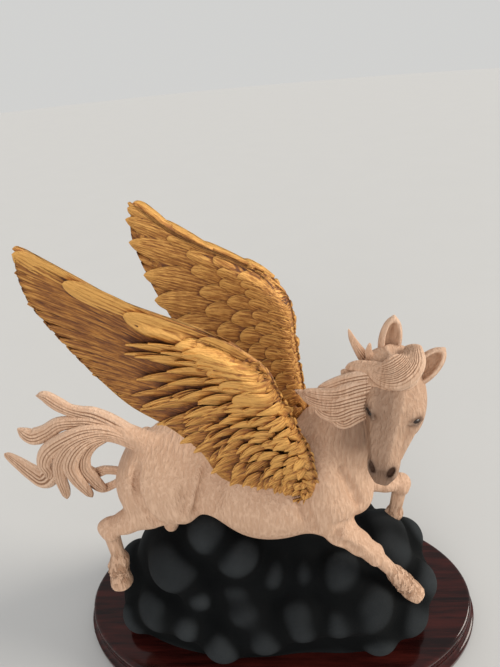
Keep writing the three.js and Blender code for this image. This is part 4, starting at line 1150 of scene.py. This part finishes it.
class Wing:
    """One wing. Plan places are millimetres backwards and upwards from its seat."""

    def __init__(self, side, span, chord, wrist, fill, seed):
        self.side = side
        self.span = span
        self.fill = fill
        self.dice = np.random.default_rng(seed)
        size = np.array((chord, span))
        leading_plan = [
            (0, -0.06), (0.04, 0.2), (0.07 + 0.5 * wrist, 0.4), (0.07 + wrist, 0.56),
            (0.16 + wrist, 0.65), (0.36 + 0.6 * wrist, 0.73), (0.65 + 0.4 * wrist, 0.83), (0.84, 0.92),
            (0.96, 1),
        ]
        arm_plan = [
            (0.02, -0.06), (0.07, 0.2), (0.1 + 0.5 * wrist, 0.38), (0.12 + wrist, 0.53),
            (0.22 + wrist, 0.63), (0.4 + 0.6 * wrist, 0.71), (0.58 + 0.4 * wrist, 0.77),
        ]
        self.trail = size * curve_through(trailing_plan, LINE_POINTS)
        self.lead = size * curve_through(leading_plan, LINE_POINTS)
        self.arm = size * curve_through(arm_plan, LINE_POINTS)
        shares = np.linspace(0, 1, LINE_POINTS)
        self.girth = np.interp(shares, (0, 0.2, 0.55, 0.75, 1), (5, 5.5, 5.5, 4, 2))
        self.skins, self.shine, self.barbs = [], [], []

    @staticmethod
    def at(line, share):
        place = np.clip(share, 0, 1) * (len(line) - 1)
        knots = np.arange(len(line))
        return np.stack([np.interp(place, knots, line[:, k]) for k in range(2)], axis=-1)

    @staticmethod
    def beside(flat, line):
        """The nearest point of a line to each place, the offset from it, and on which side that is."""
        gaps = flat[:, None, :] - line[None]
        nearest = (gaps**2).sum(axis=2).argmin(axis=1)
        offset = gaps[np.arange(len(flat)), nearest]
        run = np.gradient(line, axis=0)[nearest]
        return nearest, offset, run[:, 0] * offset[:, 1] - run[:, 1] * offset[:, 0]

    def kept_within(self, plan, line, side, keep):
        """Plan places, where only a part of what lies beyond an edge line is kept."""
        flat = plan.reshape(-1, 2).copy()
        edge = line[::3]
        nearest, offset, ahead = self.beside(flat, edge)
        beyond = side * ahead > 0
        flat[beyond] = (edge[nearest] + keep * offset)[beyond]
        return flat.reshape(plan.shape)

    def bulge(self, plan):
        """How far the arm swells under a plan place."""
        nearest, offset, ahead = self.beside(plan.reshape(-1, 2), self.arm[::4])
        girth = self.girth[::4][nearest]
        gap = np.linalg.norm(offset, axis=1) / girth
        round_front = np.sqrt(np.clip(1 - gap**2, 0, 1))
        slope_back = np.exp(-((gap / 2.4) ** 2))
        return (girth * np.where(ahead > 0, round_front, slope_back)).reshape(plan.shape[:-1])

    def place(self, plan, lift):
        out = WING_SEAT[1] + WING_LEAN * plan[..., 1] + lift
        return np.stack([WING_SEAT[0] - plan[..., 0], self.side * out, WING_SEAT[2] + plan[..., 1]], axis=-1)

    def feather(
        self, face, root, tip, width, *, lift, rise, tone, point=2.0, taper=0.55,
        ridges=5, groove=1.0, rows=12, bend=0.05, roll=0.6, keep=0.15, trim=1.0,
    ):
        """One feather on a face of the wing: a vane combed into ridges on both sides of its quill."""
        share = 1 - (1 - np.linspace(0, 1, rows)) ** 1.5
        along = tip - root
        length = np.linalg.norm(along)
        perp = np.array((-along[1], along[0])) / length
        bow = bend * length * share * (1 - share) * 4
        centre = root + share[:, None] * along + bow[:, None] * perp
        body = 0.6 + 0.4 * np.sin(np.pi / 2 * np.minimum(share / 0.55, 1))
        end = (1 - np.clip((share - taper) / (1 - taper), 0, 1) ** point) ** (1 / point)
        half = np.maximum(width / 2 * body * end, NARROWEST)
        columns = np.linspace(-1, 1, 2 * ridges + 1)
        under = np.linspace(1, -1, 5)[1:-1]
        ring = np.concatenate([columns, under])
        comb = np.where(np.arange(len(columns)) % 2, 0.0, 1.0)
        quill = np.exp(-((columns / QUILL_WIDTH) ** 2))
        fade = np.minimum(share / ROOT_FADE, 1) * np.minimum((1 - share) / TIP_FADE + 0.3, 1)
        depth = groove * min(0.5, 0.3 * width / ridges)
        crown = CROWN_RISE * width * (1 - columns**2) * body[:, None]
        height = (lift + rise * share**1.4)[:, None] + roll * ring
        height[:, : len(columns)] += crown + (depth * comb + QUILL_RISE * groove * quill) * fade[:, None]
        height[:, len(columns) :] -= FEATHER_THICKNESS
        plan = centre[:, None] + half[:, None, None] * ring[:, None] * perp
        plan = self.kept_within(plan, self.lead, 1, keep)
        if trim < 1:
            plan = self.kept_within(plan, self.trail, -1, trim)
        self.skins.append(self.place(plan, face * (height + self.bulge(plan))))
        # Painted shade and rubbing: each feather is painted darker at its root, where the row above shades
        # it, and in its grooves, and lighter on its ridges and out to its tip; its edges are rubbed bright,
        # and its underside is painted dark as shade
        edge = np.maximum(np.abs(columns) ** 6, share[:, None] ** 8)
        rub_shade = np.full(height.shape, UNDERSIDE_SHADE)
        rub_shade[:, : len(columns)] = tone * (0.45 + 0.55 * share[:, None]) * (0.55 + 0.45 * comb) + 0.3 * edge
        self.shine.append(rub_shade.ravel())
        barb = np.zeros((*height.shape, 3))
        barb[..., 0] = BARB_STRETCH * length * share[:, None]
        barb[..., 1] = half[:, None] * ring
        barb[..., 2] = BARB_SHIFT * len(self.barbs)
        self.barbs.append(barb.reshape(-1, 3))

    def row(self, face, count, shares, reach, width, lift, rise, *, ragged, tone, sweep=SWEEP, **style):
        """Feathers side by side, from one share of the arm to another. Ragged ones differ in six ways."""
        for share in np.linspace(*shares, count):
            slide, swing, stretch, spread, ruffle, wear = ragged * self.dice.uniform(-1, 1, 6)
            start = self.at(self.arm, share + 0.02 * slide)
            run = self.at(self.trail, np.interp(share + 0.03 * swing, *sweep)) - start
            root = start + reach[0] * run
            tip = start + reach[1] * (1 + 0.16 * stretch) * run
            wide = width * (0.75 + 0.25 * math.sin(math.pi * min(share + 0.25, 1))) * (1 + 0.2 * spread)
            style.update(lift=lift, rise=rise * (1 + 0.7 * ruffle), tone=tone * (1 + 0.35 * wear))
            self.feather(face, root, tip, wide, **style)

    def leaders(self, face, spans, inset, width, lift, **style):
        """Long feathers along the leading edge, each from one share of the edge to another."""
        for index, (start, end) in enumerate(spans):
            line = []
            for share in (start, end):
                lead = self.at(self.lead, share)
                inward = self.at(self.trail, share) - lead
                line.append(lead + inset * unit(inward))
            self.feather(face, *line, width, lift=lift + 0.5 * index, rise=0.8, **style)

    def primaries(self, face, count, width, lift, **style):
        """Long flight feathers of the hand, swept towards the wing tip. Their ends make the trailing edge."""
        shares = np.linspace(0.34, 1, count)
        angles = np.radians(np.linspace(24, 46, count))
        lengths = np.linspace(60, 96, count) * self.span / NEAR_SPAN
        lifts = lift + np.linspace(0, 1.6, count)
        for share, angle, length, raised in zip(shares, angles, lengths, lifts):
            end = self.at(self.trail, share)
            along = np.array((math.cos(angle), math.sin(angle)))
            root, tip = end - length * along, end + OVERHANG * along
            self.feather(face, root, tip, width, lift=raised, rise=0.5, **style)

    def core(self):
        """The vane under the feathers and the round arm at its front."""
        shares = np.linspace(0, 0.97, 48)
        across = np.linspace(0, 1, 10)
        rings = []
        for share in shares:
            lead, trail = self.at(self.lead, share), self.at(self.trail, share)
            plan = lead + across[:, None] * (trail - lead) * self.fill
            thick = 1.3 - 0.9 * across**3
            rings.append(np.concatenate([self.place(plan, thick), self.place(plan[::-1], -thick[::-1])]))
        self.plain_skin(rings, UNDERSIDE_SHADE)
        turn = np.linspace(0, 2 * np.pi, 25)[:-1]
        run = np.gradient(self.arm, axis=0)
        rings = []
        for k in range(0, LINE_POINTS, 4):
            perp = unit((-run[k, 1], run[k, 0]))
            girth = self.girth[k]
            plan = self.arm[k] + (girth * np.cos(turn))[:, None] * perp
            rings.append(self.place(plan, girth * np.sin(turn)))
        self.plain_skin(rings, 0.45)

    def plain_skin(self, rings, rub_shade):
        skin = np.array(rings)
        self.skins.append(skin)
        self.shine.append(np.full(skin.shape[0] * skin.shape[1], rub_shade))
        self.barbs.append(0.3 * skin.reshape(-1, 3))

    def rim(self, face, count, width, lift, ragged, **style):
        """Small feathers lapped over the front of the arm, from the shoulder to the hand."""
        run = np.gradient(self.arm, axis=0)
        ahead = np.stack([-run[:, 1], run[:, 0]], axis=1)
        front = ahead * (self.girth / np.linalg.norm(run, axis=1))[:, None]
        for place in np.linspace(0.02, 0.74, count):
            slide, swing, lap, spread = ragged * self.dice.uniform(-1, 1, 4)
            share = place + 0.01 * slide
            step = share + 0.05 + 0.02 * swing
            root = self.at(self.arm, share) + 0.95 * self.at(front, share)
            tip = self.at(self.arm, step) + (0.1 + 0.5 * lap) * self.at(front, step)
            self.feather(face, root, tip, width * (1 + 0.3 * spread), lift=lift, rise=1.2, keep=1.0, **style)

    def outer_face(self, face):
        flight = {"ridges": 5, "rows": 30, "point": 2, "taper": 0.6, "roll": 0.3, "trim": 0.03}
        self.row(face, 10, (0.36, 0.02), (0.5, 1.0), 10, 0.4, 1.6, ragged=0.8, tone=0.45, point=1.5, ridges=3)
        # The flight feathers are painted very dark, partly their paint and partly painted shade, as they face
        # away from the light
        self.primaries(face, 22, 9, 0.2, tone=0.06, **flight)
        # Ragged tufts, row over row from the trailing edge to the arm: reach, first share, lift and tone
        tufts = [
            (0.6, 0.88, 0.44, 1.2, 0.52),
            (0.48, 0.77, 0.5, 1.8, 0.6),
            (0.37, 0.65, 0.57, 2.3, 0.68),
            (0.26, 0.53, 0.63, 2.7, 0.74),
            (0.16, 0.41, 0.68, 3.0, 0.78),
            (0.07, 0.3, 0.71, 3.0, 0.8),
            (-0.02, 0.19, 0.72, 2.6, 0.8),
            (-0.1, 0.09, 0.72, 1.6, 0.78),
        ]
        for inner, outer, first, lift, tone in tufts:
            style = {"ridges": 3, "point": 1.3, "tone": tone, "taper": 0.3, "groove": 1.3}
            self.row(face, 17, (first, 0.02), (inner, outer), 9, lift, 2.6, ragged=1.0, **style)
        lobe = {"ridges": 6, "rows": 22, "tone": 0.8, "point": 2.2, "taper": 0.66, "groove": 0.8, "keep": 1.0}
        wrist = {**lobe, "ridges": 3, "rows": 14, "groove": 1.0, "keep": 0.3}
        self.row(face, 6, (0.74, 0.46), (-0.06, 0.22), 14, 3.6, 1.6, ragged=0.5, **wrist)
        spans = [(0.8, 1.0), (0.69, 0.87), (0.57, 0.735), (0.49, 0.62)]
        self.leaders(face, spans, 2, 12, 1.6, bend=-0.02, **lobe)
        self.rim(face, 26, 8.5, 0.3, 1.0, ridges=3, tone=0.66, point=1.4, taper=0.3, groove=1.3)

    def inner_face(self, face):
        scale = {"ridges": 5, "rows": 16, "point": 2.2, "taper": 0.6, "roll": 0.4}
        swept = {**scale, "sweep": INNER_SWEEP}
        flight = {**swept, "ridges": 9, "rows": 26, "point": 1.7, "taper": 0.7}
        self.row(face, 11, (0.62, 0.02), (0.02, 1.03), 20, 0.3, 0.5, ragged=0.1, tone=0.34, **flight)
        self.row(face, 11, (0.62, 0.03), (0.05, 0.62), 17, 1.0, 1.0, ragged=0.15, tone=0.36, **swept)
        self.row(face, 11, (0.62, 0.03), (0.02, 0.42), 15, 1.8, 1.2, ragged=0.15, tone=0.39, **swept)
        self.row(face, 13, (0.62, 0.03), (-0.02, 0.24), 11.5, 2.4, 1.2, ragged=0.2, tone=0.44, **swept)
        self.row(face, 15, (0.64, 0.03), (-0.06, 0.11), 8.5, 2.0, 1.2, ragged=0.2, tone=0.47, **swept)
        self.row(face, 19, (0.8, 0.03), (-0.15, 0.03), 8, 1.4, 1.0, ragged=0.3, tone=0.44, **scale)
        self.leaders(face, [(0.72, 0.99), (0.56, 0.8), (0.45, 0.64)], 5, 11, 0.8, tone=0.38, **scale)
        self.rim(face, 18, 7, 0.3, 0.4, ridges=3, tone=0.55, point=2)

    def build(self, name, node):
        self.core()
        self.outer_face(1)
        self.inner_face(-1)
        made = joined_piece(name, self.skins)
        mark(made, "shine", np.concatenate(self.shine))
        mark(made, "crease", hidden(made, 8, 12))
        mark(made, "barb", np.concatenate(self.barbs))
        fit(made, gilt, "gilt_resin", node)


gilt = Finish("antique gilt")
worn = gilt.place.noise(220, 5, 0.65)
grain = gilt.place.noise(900, 4, 0.6)
barbs = gilt.measure("barb", "Vector").noise(1.3, 3, 0.6).between(0.36, 0.64)
# The gilt is painted darker where the wing hides itself from the light around: painted shade
bright = gilt.measure("shine") * 1.15 + worn * 0.4 + grain * 0.1 + barbs * 0.4 - gilt.measure("crease") * 0.6
shades = (0.08, 0.024, 0.008), (0.2, 0.066, 0.014), (0.42, 0.172, 0.034), (0.74, 0.39, 0.1)
gilt.set(Base_Color=bright.ramp(*zip((0, 0.3, 0.6, 1), shades)))
gilt.set(Metallic=bright.between(0.1, 0.8) * 0.3)
gilt.set(Roughness=0.65 - bright.between(0.3, 1.0) * 0.18)
gilt.set(Normal=gilt.place.bump(grain + barbs * 0.6, 0.35))
Wing(-1, NEAR_SPAN, 112, 0.1, 1.03, 21).build("right_wing_feathers", "right_wing")
Wing(1, 147, 104, 0, 0.82, 22).build("left_wing_feathers", "left_wing")

low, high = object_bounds()
